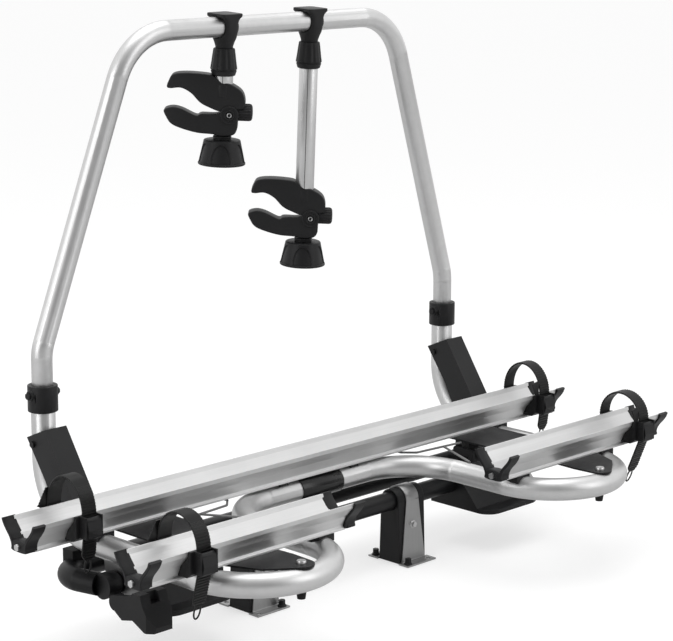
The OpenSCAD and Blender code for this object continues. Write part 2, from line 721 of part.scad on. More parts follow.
// Foot pedal and its bracket, at the left front
pedal_pin_d = 10;
bracket_t = 8;
bracket_r = 13;
pedal_x = pivot_half + pedal_out;
pedal_pivot_z = pivot_z - pedal_drop;
bracket_x = pedal_x - bracket_t - gap;
pedal_arm_r = 13;

module pedal_bracket() color(black) difference() {
  union() {
    translate([-bracket_x, 0, 0]) along_x(bracket_t) {
      translate([-pedal_pivot_y, pedal_pivot_z]) circle(r = bracket_r);
      translate([-pedal_pivot_y - bracket_r, cheek_flange_z])
        square([2*bracket_r, pedal_pivot_z - cheek_flange_z]);
    }
    translate([-bracket_x, -pedal_pivot_y - bracket_r/2, cheek_flange_z + cheek_flange_t])
      cube([bracket_x - cheek_x - cheek_t, bracket_r, bracket_r/3]);
  }
  translate([-2*pedal_x, -pedal_pivot_y, pedal_pivot_z]) rotate([0, 90, 0])
    cylinder(d = pedal_pin_d + 2*run_fit, h = 2*pedal_x);
}

// Side view of the pedal's pad, from the pivot, as shares of its reach
pedal_reach = 90;
pad_shares = [[-0.38, 0.14], [-0.5, 0.3], [-0.7, 0.3], [-0.76, 0.12],
              [-1, -0.24], [-0.97, -0.35], [-0.8, -0.35], [-0.42, -0.17]];
// Plan of the pad with its tip's corners cut, as shares of its width and reach
pad_plan_shares = [[0, 0], [1, 0], [1, -0.86], [0.8, -1], [0.2, -1], [0, -0.86]];
// Corner and size of the square recess in the pad, as shares of its width, reach and reach
recess_shares = [[0.35, -0.78, 0.12], [0.33, 0.16, 0.2]];
arm_shares = [[0, 0.144], [-0.5, 0.24], [-0.5, -0.2], [-0.2, -0.27], [0, -0.144]];

module foot_pedal() color(black) translate([-pedal_x, -pedal_pivot_y, pedal_pivot_z]) {
  difference() {
    intersection() {
      along_x(pedal_w) polygon(pad_shares*pedal_reach);
      linear_extrude(2*pedal_reach, center = true)
        polygon([for (s = pad_plan_shares) [s[0]*pedal_w, s[1]*pedal_reach]]);
    }
    scale([pedal_w, pedal_reach, pedal_reach]) translate(recess_shares[0]) cube(recess_shares[1]);
  }
  along_x(bracket_t) {
    circle(r = pedal_arm_r);
    polygon(arm_shares*pedal_reach);
  }
  rotate([0, 90, 0]) cylinder(d = pedal_pin_d, h = pedal_x - cheek_x + gap);
  translate([pedal_x - cheek_x + gap, 0, 0]) rotate([0, 90, 0])
    cylinder(d = 1.4*pedal_pin_d, h = bracket_t/3);
}

// Hoop

function hoop_side(s) = [[s*hoop_top_x, hoop_top_y, hoop_top_z], [s*outer_x, upright_y, hoop_bend_z],
                         [s*outer_x, upright_y, sleeve_top - hoop_insert]];

module hoop() color(alloy) pipe(concat(backwards(hoop_side(-1)), hoop_side(1)),
  [0, hoop_low_r, hoop_top_r, hoop_top_r, hoop_low_r, 0], hoop_d, hoop_wall);

// Bike holders: a liner and a clamp on the top bar, an arm, and a jaw closed by a knob

holder_tilt = atan(hoop_lean/(hoop_top_z - hoop_bend_z));
liner_t = 2;
clamp_d = 46;
clamp_body_w = 30;
clamp_plate_h = 9;
clamp_neck_d = 30;
clamp_neck_z = 36;
spigot_len = 45;
sleeve_h2 = 47;
sleeve_mouth = 0.75;
sleeve_shoulder = 4.3;
sleeve_lip = 1.6;
jaw_setback = 12;
jaw_socket = 20;
jaw_top = 52;
tongue_t = 16;
tongue_r = 15.5;
tongue_play = 1.5;
boss_r = 16;
jaw_bolt_d = 8;
barrel_d = 30;
barrel_end = 39;
screw_d = 6;

module at_holder(n) translate([holder_x[n], hoop_top_y, hoop_top_z]) rotate([holder_tilt, 0, 0]) children();

module clamp_liner(n) color(rubber) at_holder(n) translate([-clamp_body_w/2, 0, 0]) rotate([0, 90, 0])
  linear_extrude(clamp_body_w) tube_section(hoop_d + 2*run_fit + 2*liner_t, liner_t);

module bar_clamp(n) color(black) at_holder(n) difference() {
  union() {
    translate([-clamp_body_w/2, 0, 0]) rotate([0, 90, 0]) cylinder(d = clamp_d, h = clamp_body_w);
    translate([-clamp_w/2, -clamp_d/2, clamp_d/2 - clamp_plate_h]) cube([clamp_w, clamp_d, clamp_plate_h]);
    translate([0, 0, -clamp_neck_z])
      cylinder(d1 = clamp_neck_d, d2 = clamp_w, h = clamp_neck_z - clamp_d/4);
    translate([0, 0, -clamp_neck_z - spigot_len])
      cylinder(d = arm_d - 2*arm_wall - 2*run_fit, h = spigot_len);
  }
  translate([-clamp_w, 0, 0]) rotate([0, 90, 0]) cylinder(d = hoop_d + 4*run_fit + 2*liner_t, h = 2*clamp_w);
}

module twist_sleeve(n) color(black) at_holder(n) rotate_extrude()
  polygon([[arm_d/2, -clamp_neck_z - gap], [arm_d/2 + gap, -clamp_neck_z - gap],
           [arm_d/2 + sleeve_shoulder, -clamp_neck_z - sleeve_h2/4],
           [clamp_d/2, -clamp_neck_z - sleeve_mouth*sleeve_h2],
           [arm_d/2 + sleeve_lip, -clamp_neck_z - sleeve_h2], [arm_d/2, -clamp_neck_z - sleeve_h2]]);

module holder_arm(n) color(alloy) at_holder(n) translate([0, 0, -holder_len[n] + jaw_top - jaw_socket])
  linear_extrude(holder_len[n] - jaw_top + jaw_socket - clamp_neck_z - 2*gap) tube_section(arm_d, arm_wall);

// Jaws are drawn from their pivot: level reach and height as shares of the reach
upper_shares = [[0.99, 0.41], [1, 0.44], [0.886, 0.628], [0.666, 0.648], [0.349, 0.628], [0.275, 0.6],
                [0.27, 0.477], [-0.068, 0.477], [-0.193, 0.367], [-0.243, 0.207], [-0.2, 0.1], [0, 0.08],
                [0.147, 0.052], [0.305, 0.104], [0.462, 0.183], [0.609, 0.328], [0.767, 0.404],
                [0.926, 0.392]];
lower_shares = [[1.027, 0.052], [0.908, 0.098], [0.756, 0.075], [0.53, -0.023], [0.44, 0.005], [0.19, 0.012],
                [0, 0], [-0.128, -0.156], [-0.12, -0.24], [-0.055, -0.317], [0.124, -0.339], [0.26, -0.311],
                [0.508, -0.294], [0.767, -0.229], [0.914, -0.161], [0.99, -0.058]];

// Level pieces across the jaw, drawn in (reach, height), thickness t about the middle
module across(t) rotate([90, 0, 0]) linear_extrude(t, center = true) children();

module at_jaw(n) at_holder(n) translate([0, 0, -holder_len[n]]) rotate([0, 0, jaw_heading])
  translate([-jaw_setback, 0, 0]) children();

module upper_jaw(n) color(black) at_jaw(n) difference() {
  union() {
    difference() {
      across(jaw_t) polygon(upper_shares*jaw_reach);
      for (s = [-1, 1]) translate([0, s*(tongue_t/2 + jaw_t), 0])
        across(2*jaw_t) circle(r = boss_r + gap);
    }
    across(tongue_t) {
      circle(r = tongue_r);
      translate([-barrel_end + boss_r, -tongue_t/2]) square([barrel_end - boss_r, 1.3*tongue_t]);
    }
    translate([-barrel_end, 0, barrel_d/8]) rotate([0, 90, 0])
      cylinder(d = barrel_d, h = barrel_end - boss_r - 2*gap);
    translate([jaw_setback, 0, jaw_top - jaw_socket]) cylinder(d = arm_d + 2*arm_wall, h = jaw_socket);
  }
  translate([jaw_setback, 0, jaw_top - jaw_socket]) cylinder(d = arm_d, h = jaw_top);
  across(screw_d + 4*gap) polygon([[jaw_setback - 1.2*screw_d, -tongue_r - cut],
    [jaw_setback + 1.2*screw_d, -tongue_r - cut], [2*jaw_setback, jaw_top - jaw_socket],
    [jaw_setback/12, jaw_top - jaw_socket], [jaw_setback - screw_d, 0]]);
  across(2*jaw_t) circle(d = jaw_bolt_d);
}

module jaw_bolt(n) color(steel) at_jaw(n) {
  across(jaw_t + 2*run_fit) circle(d = jaw_bolt_d);
  for (s = [0, 1]) rotate([90, 0, 180*s]) translate([0, 0, jaw_t/2 + run_fit])
    hex_head(bolt_af, bolt_head/2);
}

module lower_jaw(n) color(black) at_jaw(n) difference() {
  across(jaw_t) {
    polygon(lower_shares*jaw_reach);
    circle(r = boss_r);
  }
  across(tongue_t + 2*gap) circle(r = tongue_r + tongue_play);
  across(2*jaw_t) circle(d = jaw_bolt_d + 2*run_fit);
  translate([jaw_setback, 0, -jaw_reach]) cylinder(d = screw_d + 2*run_fit, h = 2*jaw_reach);
}

knob_top = 44;
knob_neck_d = 32;
knob_lobes = 6;
scallop_d = 30;
knob_rake = 16;
jaw_under = jaw_reach*0.339 + gap;

module jaw_knob(n) color(black) at_jaw(n) translate([jaw_setback, 0, 0]) {
  difference() {
    translate([0, 0, -knob_top - knob_h]) cylinder(d1 = knob_d, d2 = 0.78*knob_d, h = knob_h);
    for (i = [0:knob_lobes - 1]) rotate([0, 0, (i + 0.5)*360/knob_lobes])
      translate([knob_d/2 + scallop_d/4, 0, -knob_top - knob_h - cut]) rotate([0, -knob_rake, 0])
        cylinder(d = scallop_d, h = 2*knob_h);
  }
  translate([0, 0, -knob_top]) cylinder(d = knob_neck_d, h = knob_top - jaw_under);
  translate([0, 0, -knob_top])
    cylinder(d = screw_d, h = knob_top + jaw_top - jaw_socket - 3*gap - screw_d/2);
}

// Wheel straps: band, ratchet buckle and lever, drawn from the middle of the rail's foot

strap_seat = 5;
band_in = rail_w/2 + strap_seat;
band_out = band_in + strap_t;
band_foot_share = 0.1;
ear_t = (buckle_w - strap_w)/2;
buckle_h = 36;
buckle_reach = 12;
lever_t = 9;
lever_drop = 8;
ring_w = 9;
ring_h = 22;
fan_w = 46;
fan_h = 28;
fan_root = 12;
guide_t = 3.5;
guide_w = 18;
guide_h = 27;
arch_steps = 24;
strap_rail_y = [rear_rail_y, -front_rail_y, rear_rail_y, -front_rail_y];
strap_over = [rear_rail_over, front_rail_over, rear_rail_over, front_rail_over];

// A strap stands between the outer member and the rail cap; its wedge lies on the side of -X
function strap_room(n) = strap_over[n] - platform_d/2 - rail_cap_grip - buckle_w - wedge_w;
function strap_out(n) = outer_x + platform_d/2 + strap_room(n)*strap_place_shares[n] + buckle_w/2;
function strap_x(n) = n < 2 ? -strap_out(n) : strap_out(n) + wedge_w;

module at_strap(n) translate([strap_x(n), strap_rail_y[n], rail_z]) children();
function arch(half, height) = [for (i = [0:arch_steps])
  [half*cos(180*i/arch_steps), rail_h + height*sin(180*i/arch_steps)]];

module strap_band(n) color(rubber) at_strap(n) {
  difference() {
    translate([-strap_w/2, 0, 0]) along_x(strap_w)
      polygon(concat([[band_out, rail_h*band_foot_share]], arch(band_out, arch_h[n]),
        [[-band_out, rail_h - buckle_h - strap_t], [tail_lean[n] - band_out, rail_h - strap_tail[n]],
         [tail_lean[n] - band_in, rail_h - strap_tail[n]], [-band_in, rail_h - buckle_h - strap_t]],
        backwards(arch(band_in, arch_h[n] - strap_t)), [[band_in, rail_h*band_foot_share]]));
    translate([0, 0, rail_h - strap_tail[n] + ring_w]) rotate([90, 0, 0]) linear_extrude(2*band_out) {
      circle(d = ring_w);
      translate([-ring_w/2, 0]) square([ring_w, ring_h - ring_w]);
      translate([0, ring_h - ring_w]) circle(d = ring_w);
    }
  }
  if (n < 2) translate([0, band_out + strap_t/2, rail_h - fan_root]) rotate([90, 0, 0])
    linear_extrude(strap_t) polygon([[strap_w/2, 0], [-strap_w/2, 0], [-fan_w + strap_w/2, fan_root],
             [-fan_w + strap_w/2 + strap_t, fan_h/2], [-strap_w/2, fan_h + fan_root],
             [strap_w/2, fan_h + fan_root]]);
}

// A wedge that fills the space between the rail's flank and the band, on the side s
function flank(s) = concat([[s*band_in, rail_h]], [for (i = [len(rail_shares) - 1:-1:2])
  [s*(rail_w/2*rail_shares[i][1] + gap), rail_h*rail_shares[i][0]]],
  [[s*band_in*0.8, rail_h*rail_shares[2][0]], [s*band_in, rail_h*rail_shares[3][0]]]);

module strap_buckle(n) color(black) at_strap(n) {
  translate([-buckle_w/2 - wedge_w, 0, 0]) along_x(buckle_w + wedge_w) polygon(flank(-1));
  translate([-buckle_w/2, 0, 0]) along_x(buckle_w) polygon(flank(1));
  if (n > 1) translate([-strap_w/2 - gap, guide_t - band_in, rail_h]) rotate([90, 0, 0])
    linear_extrude(guide_t) polygon([[0, 0], [0, guide_h], [-guide_w, guide_h - guide_t],
                                     [-wedge_w, 0], [-wedge_w, -guide_t], [0, -guide_t]]);
  difference() {
    for (x = [-buckle_w/2, buckle_w/2 - ear_t])
      translate([x, -band_out - buckle_reach, rail_h - buckle_h])
        cube([ear_t, buckle_reach + strap_t + strap_seat/2, buckle_h]);
    translate([-buckle_w, -band_out - buckle_reach/2, rail_h - lever_drop]) rotate([0, 90, 0])
      cylinder(d = lever_pin_d + 2*run_fit, h = 2*buckle_w);
  }
}

lever_pin_d = 5;
lever_h = 30;
module buckle_lever(n) color(black) at_strap(n)
  translate([0, -band_out - buckle_reach/2, rail_h - lever_drop]) {
    translate([-strap_w/2 + gap, 0, 0]) along_x(strap_w - 2*gap) {
      circle(d = buckle_reach - 2*gap);
      polygon([[buckle_reach/2 - gap, 0], [buckle_reach/2 - gap, lever_drop/2 - lever_h],
               [-lever_t/3, -lever_h], [-buckle_reach/2, -lever_h*0.9],
               [-buckle_reach/2 - lever_t/3, -lever_h/2], [-buckle_reach/2 + gap, 0]]);
    }
    translate([-buckle_w/2, 0, 0]) rotate([0, 90, 0]) cylinder(d = lever_pin_d, h = buckle_w);
  }

pivot_tube();
tube_end_caps();
rear_tube();
foot_blocks();
foot_straps();
foot_bolts();
clamp_housings();
housing_bolts();
rest_pads();
release_cable();
platform_tube();
grip_sleeve();
rear_rail();
front_rail_left();
front_rail_right();
rail_end_caps();
rail_cap_bolts();
rail_saddles();
saddle_bolts();
loop_plates();
rubber_studs();
rear_plates();
corner_braces();
upright_bolts();
hoop_collars();
hinge_cheeks();
pedal_bracket();
foot_pedal();
latch_hooks();
hoop();
clamp_liner(0);  // clamp_liner_1
bar_clamp(0);  // bar_clamp_1
twist_sleeve(0);  // twist_sleeve_1
holder_arm(0);  // holder_arm_1
upper_jaw(0);  // upper_jaw_1
jaw_bolt(0);  // jaw_bolt_1
lower_jaw(0);  // lower_jaw_1
jaw_knob(0);  // jaw_knob_1
clamp_liner(1);  // clamp_liner_2
bar_clamp(1);  // bar_clamp_2
twist_sleeve(1);  // twist_sleeve_2
holder_arm(1);  // holder_arm_2
upper_jaw(1);  // upper_jaw_2
jaw_bolt(1);  // jaw_bolt_2
lower_jaw(1);  // lower_jaw_2
jaw_knob(1);  // jaw_knob_2
strap_band(0);  // strap_band_1
strap_buckle(0);  // strap_buckle_1
buckle_lever(0);  // buckle_lever_1
strap_band(1);  // strap_band_2
strap_buckle(1);  // strap_buckle_2
buckle_lever(1);  // buckle_lever_2
strap_band(2);  // strap_band_3
strap_buckle(2);  // strap_buckle_3
buckle_lever(2);  // buckle_lever_3
strap_band(3);  // strap_band_4
strap_buckle(3);  // strap_buckle_4
buckle_lever(3);  // buckle_lever_4
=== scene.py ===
"""A tilting two-bike rack for a drawbar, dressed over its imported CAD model. Lengths are in metres."""

import json
import math

import bmesh
import bpy
import numpy as np
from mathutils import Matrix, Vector


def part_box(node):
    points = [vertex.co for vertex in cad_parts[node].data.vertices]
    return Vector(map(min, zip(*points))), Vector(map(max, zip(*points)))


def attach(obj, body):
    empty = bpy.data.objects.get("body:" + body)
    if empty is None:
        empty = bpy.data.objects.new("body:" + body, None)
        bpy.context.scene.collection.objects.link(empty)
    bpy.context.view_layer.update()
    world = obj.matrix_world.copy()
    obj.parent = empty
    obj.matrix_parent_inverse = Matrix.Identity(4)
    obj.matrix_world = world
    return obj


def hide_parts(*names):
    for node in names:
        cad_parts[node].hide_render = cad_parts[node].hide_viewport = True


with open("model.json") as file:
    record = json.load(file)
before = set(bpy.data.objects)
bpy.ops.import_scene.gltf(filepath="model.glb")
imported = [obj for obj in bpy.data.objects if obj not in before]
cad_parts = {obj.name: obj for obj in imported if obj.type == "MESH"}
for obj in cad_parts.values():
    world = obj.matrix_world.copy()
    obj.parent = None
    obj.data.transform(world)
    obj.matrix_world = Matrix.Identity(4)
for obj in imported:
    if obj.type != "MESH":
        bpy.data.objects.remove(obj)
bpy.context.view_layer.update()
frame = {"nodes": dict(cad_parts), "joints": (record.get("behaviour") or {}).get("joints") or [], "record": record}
nodes = frame["nodes"]
joints = {joint["name"]: joint for joint in frame["joints"]}
body_of_node = {n: b for b, ns in frame["record"]["behaviour"]["bodies"].items() for n in ns}
slot_of_node = {part["node"]: part["material_slot"] for part in frame["record"]["subparts"]}

MM = 0.001
MICRON = 0.000001


# Places that the frame gives
def place_of(joint):
    """The point that a joint turns about, at rest."""
    return np.array(joints[joint]["pos_m"])


def axis_of(joint):
    """The direction of a joint's axis, with length 1."""
    axis = np.array(joints[joint]["axis"], float)
    return axis / np.linalg.norm(axis)


RAILS = [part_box(name) for name in ("rear_rail", "front_rail_left", "front_rail_right")]
RAIL_Z = RAILS[0][0].z
RAIL_H = RAILS[0][1].z - RAIL_Z
RAIL_ENDS = [(x, (low.y + high.y) / 2, way)
             for low, high in RAILS for x, way in ((low.x, -1), (high.x, 1))]

# A lever's pin, seen from the middle of the rail's foot
LEVER_PIN = np.array([0, -0.052, 0.041])
STRAP_FOOT = [place_of(f"lever_open_{k}") - LEVER_PIN for k in (1, 2, 3, 4)]


# Surfaces
def smooth_loop(points, per):
    """Closed Catmull-Rom curve: between neighbours b and c, with a before and d after, the point at t is
    half of 2b + (c - a)t + (2a - 5b + 4c - d)t^2 + (3b - a - 3c + d)t^3."""
    b = np.asarray(points, float)
    a, c, d = np.roll(b, 1, 0), np.roll(b, -1, 0), np.roll(b, -2, 0)
    t = (np.arange(per) / per)[None, :, None]
    a, b, c, d = (v[:, None, :] for v in (a, b, c, d))
    square = 2 * a - 5 * b + 4 * c - d
    cube = 3 * b - a - 3 * c + d
    curve = 0.5 * (2 * b + (c - a) * t + square * t**2 + cube * t**3)
    return curve.reshape(-1, b.shape[-1])


def inward(outline, amount):
    """The outline moved to its inside by amount: each point goes along the normal of the chord between its
    two neighbours."""
    after = np.roll(outline, -1, 0)
    chord = after - np.roll(outline, 1, 0)
    area = np.sum(outline[:, 0] * after[:, 1] - after[:, 0] * outline[:, 1])
    normal = np.stack([-chord[:, 1], chord[:, 0]], 1) * np.sign(area)
    normal /= np.maximum(np.linalg.norm(normal, axis=1, keepdims=True), 1e-9)
    return outline + normal * amount


def slab(outline, half, rim, steps=4):
    """Rings of a plate with rounded rims: at angle a of the rim the outline is drawn in by rim(1 - cos a)
    and lies half - rim(1 - sin a) from the middle."""
    a = np.linspace(0, math.pi / 2, steps)
    depth = rim * (1 - np.cos(a))
    away = half - rim * (1 - np.sin(a))
    side = np.stack([np.insert(inward(outline, d), 1, y, axis=1) for d, y in zip(depth, away)])
    other = side[::-1] * np.array([1, -1, 1])
    return np.concatenate([other, side])


def revolved(profile, turns=48, wave=None):
    """A profile of (radius, height) turned round Z: the point at angle q is (r cos q, r sin q, z), with r
    times wave(q, share of the way along the profile) where a wave is given."""
    profile = np.asarray(profile, float)
    q = np.linspace(0, 2 * math.pi, turns, endpoint=False)
    share = np.linspace(0, 1, len(profile))
    r = profile[:, :1] * (1 if wave is None else wave(q[None, :], share[:, None]))
    z = np.repeat(profile[:, 1:], turns, axis=1)
    return np.stack([r * np.cos(q), r * np.sin(q), z], -1)


def carried(path, profile, side):
    """A profile (a, b) carried along a path: each of its points is path + a times side + b times the normal
    that is square to the side and to the path's direction."""
    path = np.asarray(path, float)
    way = np.gradient(path, axis=0)
    way /= np.linalg.norm(way, axis=1, keepdims=True)
    side = np.broadcast_to(np.asarray(side, float), path.shape)
    up = np.cross(way, side)
    up /= np.linalg.norm(up, axis=1, keepdims=True)
    profile = np.asarray(profile, float)
    if profile.ndim == 2:
        profile = np.broadcast_to(profile, (len(path),) + profile.shape)
    return path[:, None] + profile[..., :1] * side[:, None] + profile[..., 1:] * up[:, None]


def wire(loop, radius, across, sides=10):
    """A closed wire: round each point of a flat loop a circle is drawn, whose point at angle t lies radius
    times (cos t of the loop's own normal plus sin t of the direction across the loop's plane) away."""
    loop = np.asarray(loop, float)
    across = np.asarray(across, float)
    way = np.roll(loop, -1, 0) - np.roll(loop, 1, 0)
    normal = np.cross(way, across)
    normal /= np.linalg.norm(normal, axis=1, keepdims=True)
    t = np.linspace(0, 2 * math.pi, sides, endpoint=False)[None, :, None]
    rings = loop[:, None] + radius * (np.cos(t) * normal[:, None] + np.sin(t) * across)
    return np.concatenate([rings, rings[:1]])


def hexagon(flats, height, chamfer):
    """A hexagon head on Z: its corners lie at half the width over flats divided by cos 30 degrees, and its
    top corners are drawn in by the chamfer."""
    corner = flats / 2 / math.cos(math.pi / 6)
    top = corner - chamfer
    return revolved([[corner, 0], [corner, height - chamfer], [top, height], [corner / 3, height]], 6)


def along_x(grid):
    """A piece drawn on Z, laid on X."""
    return np.stack([grid[..., 2], grid[..., 0], grid[..., 1]], -1)


def along_y(grid):
    """A piece drawn on Z, laid on Y."""
    return np.stack([grid[..., 0], grid[..., 2], grid[..., 1]], -1)


def placed(grid, matrix):
    """Each point times a 3x4 matrix."""
    return grid @ matrix[:, :3].T + matrix[:, 3]


def skin_of(name, grids):
    """The mesh of some grids. Each row is a ring, neighbouring rings are joined by quads, and the first and
    last rings are closed by one face each, or joined where they are the same ring. Faces look outward."""
    points, faces, start = [], [], 0
    for g in grids:
        endless = np.allclose(g[0], g[-1])
        g = g[:-1] if endless else g
        m, n = g.shape[:2]
        k = np.arange(m * n).reshape(m, n) + start
        rows = np.concatenate([k, k[:1]]) if endless else k
        right = np.roll(rows, -1, 1)
        faces += np.stack([rows[:-1], right[:-1], right[1:], rows[1:]], -1).reshape(-1, 4).tolist()
        faces += [] if endless else [k[0, ::-1].tolist(), k[-1].tolist()]
        points += g.reshape(-1, 3).tolist()
        start += m * n
    mesh = bpy.data.meshes.new(name)
    mesh.from_pydata(points, [], faces)
    mesh.validate()
    loose = bmesh.new()
    loose.from_mesh(mesh)
    bmesh.ops.recalc_face_normals(loose, faces=loose.faces)
    loose.to_mesh(mesh)
    loose.free()
    return mesh


def shown(name, data):
    """A new object in the scene."""
    item = bpy.data.objects.new(name, data)
    bpy.context.scene.collection.objects.link(item)
    return item


def made(name, grids, material, body, stands_for=(), crease=35):
    """Makes one piece from its grids and hangs it on its CAD body."""
    mesh = skin_of(name, grids)
    mesh.shade_smooth()
    mesh.set_sharp_from_angle(angle=math.radians(crease))
    mesh.materials.append(material)
    piece = shown(name, mesh)
    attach(piece, body)
    if stands_for:
        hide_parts(*stands_for)
    return piece


def bored(piece, grid):
    """Cuts a grid's shape out of a piece's mesh."""
    mesh = skin_of("bore", [grid])
    cutter = shown("bore", mesh)
    bore = piece.modifiers.new("bore", "BOOLEAN")
    bore.object = cutter
    bore.operation = "DIFFERENCE"
    bore.solver = "EXACT"
    whole = bpy.data.meshes.new_from_object(piece.evaluated_get(bpy.context.evaluated_depsgraph_get()))
    piece.modifiers.clear()
    old, piece.data = piece.data, whole
    whole.name = piece.name
    bpy.data.objects.remove(cutter)
    bpy.data.meshes.remove(mesh)
    bpy.data.meshes.remove(old)


# Shader groups
def group_of(name, inputs, outputs):
    """An empty shader group with named number, vector and colour sockets."""
    tree = bpy.data.node_groups.new(name, "ShaderNodeTree")
    for label, kind, value in inputs:
        socket = tree.interface.new_socket(label, in_out="INPUT", socket_type=kind)
        socket.default_value = value
    for label, kind in outputs:
        tree.interface.new_socket(label, in_out="OUTPUT", socket_type=kind)
    return tree, tree.nodes.new("NodeGroupInput"), tree.nodes.new("NodeGroupOutput")


def set_inputs(item, values):
    """Sets a node's inputs by their names."""
    for key, value in values.items():
        item.inputs[key].default_value = value


def node(tree, kind, **settings):
    """A new node; a setting with a socket's name sets that socket, any other sets the node's property."""
    item = tree.nodes.new("ShaderNode" + kind)
    for key, value in settings.items():
        if key in item.inputs:
            item.inputs[key].default_value = value
        else:
            setattr(item, key, value)
    return item


def grain_group():
    """Moulded or sprayed grain: two sizes of noise on Object coordinates become a height and a soft mask."""
    numbers = {"Scale": 900.0, "Patch Scale": 14.0, "Low": 0.4, "High": 0.6}
    tree, given, result = group_of("surface grain", [(n, "NodeSocketFloat", v) for n, v in numbers.items()],
                                   [("Height", "NodeSocketFloat"), ("Level", "NodeSocketFloat")])
    place = node(tree, "TexCoord")
    fine = node(tree, "TexNoise", Detail=3.0, Roughness=0.6)
    patch = node(tree, "TexNoise", Detail=4.0, Roughness=0.55)
    level = node(tree, "MapRange")
    set_inputs(level, {"From Min": 0.3, "From Max": 0.7})
    link = tree.links.new
    link(place.outputs["Object"], fine.inputs["Vector"])
    link(place.outputs["Object"], patch.inputs["Vector"])
    link(given.outputs["Scale"], fine.inputs["Scale"])
    link(given.outputs["Patch Scale"], patch.inputs["Scale"])
    link(patch.outputs["Fac"], level.inputs["Value"])
    link(given.outputs["Low"], level.inputs["To Min"])
    link(given.outputs["High"], level.inputs["To Max"])
    link(fine.outputs["Fac"], result.inputs["Height"])
    link(level.outputs["Result"], result.inputs["Level"])
    return tree


def drawn_group():
    """Drawn metal: noise stretched along one axis gives fine die lines as a height and a colour."""
    tree, given, result = group_of("drawn lines", [("Stretch", "NodeSocketVector", (6.0, 900.0, 900.0)),
                                                   ("Dark", "NodeSocketColor", (0.5, 0.5, 0.5, 1)),
                                                   ("Pale", "NodeSocketColor", (0.8, 0.8, 0.8, 1))],
                                   [("Height", "NodeSocketFloat"), ("Color", "NodeSocketColor")])
    place = node(tree, "TexCoord")
    scaled = node(tree, "VectorMath", operation="MULTIPLY")
    lines = node(tree, "TexNoise", Scale=1.0, Detail=4.0, Roughness=0.7)
    cloud = node(tree, "TexNoise", Scale=9.0, Detail=3.0)
    both = node(tree, "Math", operation="ADD")
    half = node(tree, "Math", operation="MULTIPLY")
    half.inputs[1].default_value = 0.5
    tint = node(tree, "Mix", data_type="RGBA")
    link = tree.links.new
    link(place.outputs["Object"], scaled.inputs[0])
    link(given.outputs["Stretch"], scaled.inputs[1])
    link(scaled.outputs["Vector"], lines.inputs["Vector"])
    link(place.outputs["Object"], cloud.inputs["Vector"])
    link(lines.outputs["Fac"], both.inputs[0])
    link(cloud.outputs["Fac"], both.inputs[1])
    link(both.outputs["Value"], half.inputs[0])
    link(half.outputs["Value"], tint.inputs["Factor"])
    link(given.outputs["Dark"], tint.inputs["A"])
    link(given.outputs["Pale"], tint.inputs["B"])
    link(lines.outputs["Fac"], result.inputs["Height"])
    link(tint.outputs["Result"], result.inputs["Color"])
    return tree


GRAIN = grain_group()
DRAWN = drawn_group()


# Materials
def finish_of(name):
    """A new material with its node tree and its shader."""
    material = bpy.data.materials.new(name)
    material.use_nodes = True
    return material, material.node_tree, material.node_tree.nodes["Principled BSDF"]


def grained(name, dark, pale, rough, scale, depth, shine=0.28):
    """A coated or moulded finish: its colour, roughness and bump come from the grain group."""
    material, tree, shader = finish_of(name)
    set_inputs(shader, {"Specular IOR Level": shine})
    grain = node(tree, "Group", node_tree=GRAIN)
    set_inputs(grain, {"Scale": scale, "Low": rough[0], "High": rough[1]})
    tint = node(tree, "Mix", data_type="RGBA")
    set_inputs(tint, {"A": (*dark, 1), "B": (*pale, 1)})
    bump = node(tree, "Bump", Strength=1.0, Distance=depth)
    link = tree.links.new
    link(grain.outputs["Height"], tint.inputs["Factor"])
    link(tint.outputs["Result"], shader.inputs["Base Color"])
    link(grain.outputs["Level"], shader.inputs["Roughness"])
    link(grain.outputs["Height"], bump.inputs["Height"])
    link(bump.outputs["Normal"], shader.inputs["Normal"])
    return material


def drawn(name, dark, pale, rough, stretch, depth):
    """A bare metal finish with lines along its length."""
    material, tree, shader = finish_of(name)
    set_inputs(shader, {"Metallic": 1.0})
    lines = node(tree, "Group", node_tree=DRAWN)
    set_inputs(lines, {"Stretch": stretch, "Dark": (*dark, 1), "Pale": (*pale, 1)})
    grain = node(tree, "Group", node_tree=GRAIN)
    set_inputs(grain, {"Scale": 1500.0, "Low": rough[0], "High": rough[1]})
    bump = node(tree, "Bump", Strength=1.0, Distance=depth)
    link = tree.links.new
    link(lines.outputs["Color"], shader.inputs["Base Color"])
    link(grain.outputs["Level"], shader.inputs["Roughness"])
    link(lines.outputs["Height"], bump.inputs["Height"])
    link(bump.outputs["Normal"], shader.inputs["Normal"])
    return material


def grey(level, blue=0.0):
    """A grey, or with a little more blue."""
    return (level, level, level + blue)


ANODISED_TUBE = drawn("anodised tube", grey(0.56), grey(0.74), (0.38, 0.46), (60.0, 60.0, 60.0),
                      10 * MICRON)
EXTRUDED_RAIL = drawn("extruded rail", grey(0.58), grey(0.82), (0.48, 0.56), (3.0, 700.0, 700.0),
                      20 * MICRON)
SATIN_STEEL = drawn("satin steel", grey(0.30), grey(0.46), (0.34, 0.46), (300.0, 300.0, 12.0),
                    20 * MICRON)
BRIGHT_BOLT = drawn("bright zinc bolt", grey(0.50), grey(0.72), (0.25, 0.35), (300.0, 300.0, 300.0),
                    10 * MICRON)
BLACK_COAT = grained("black powder coat", grey(0.005, 0.0005), grey(0.011, 0.001), (0.34, 0.48), 1400.0,
                     50 * MICRON)
BLACK_PLASTIC = grained("black moulded plastic", grey(0.006, 0.0005), grey(0.013, 0.001), (0.40, 0.55),
                        2200.0, 40 * MICRON)
GREY_PLASTIC = grained("charcoal moulded plastic", grey(0.009, 0.0005), grey(0.017, 0.001), (0.42, 0.56),
                       2200.0, 40 * MICRON)
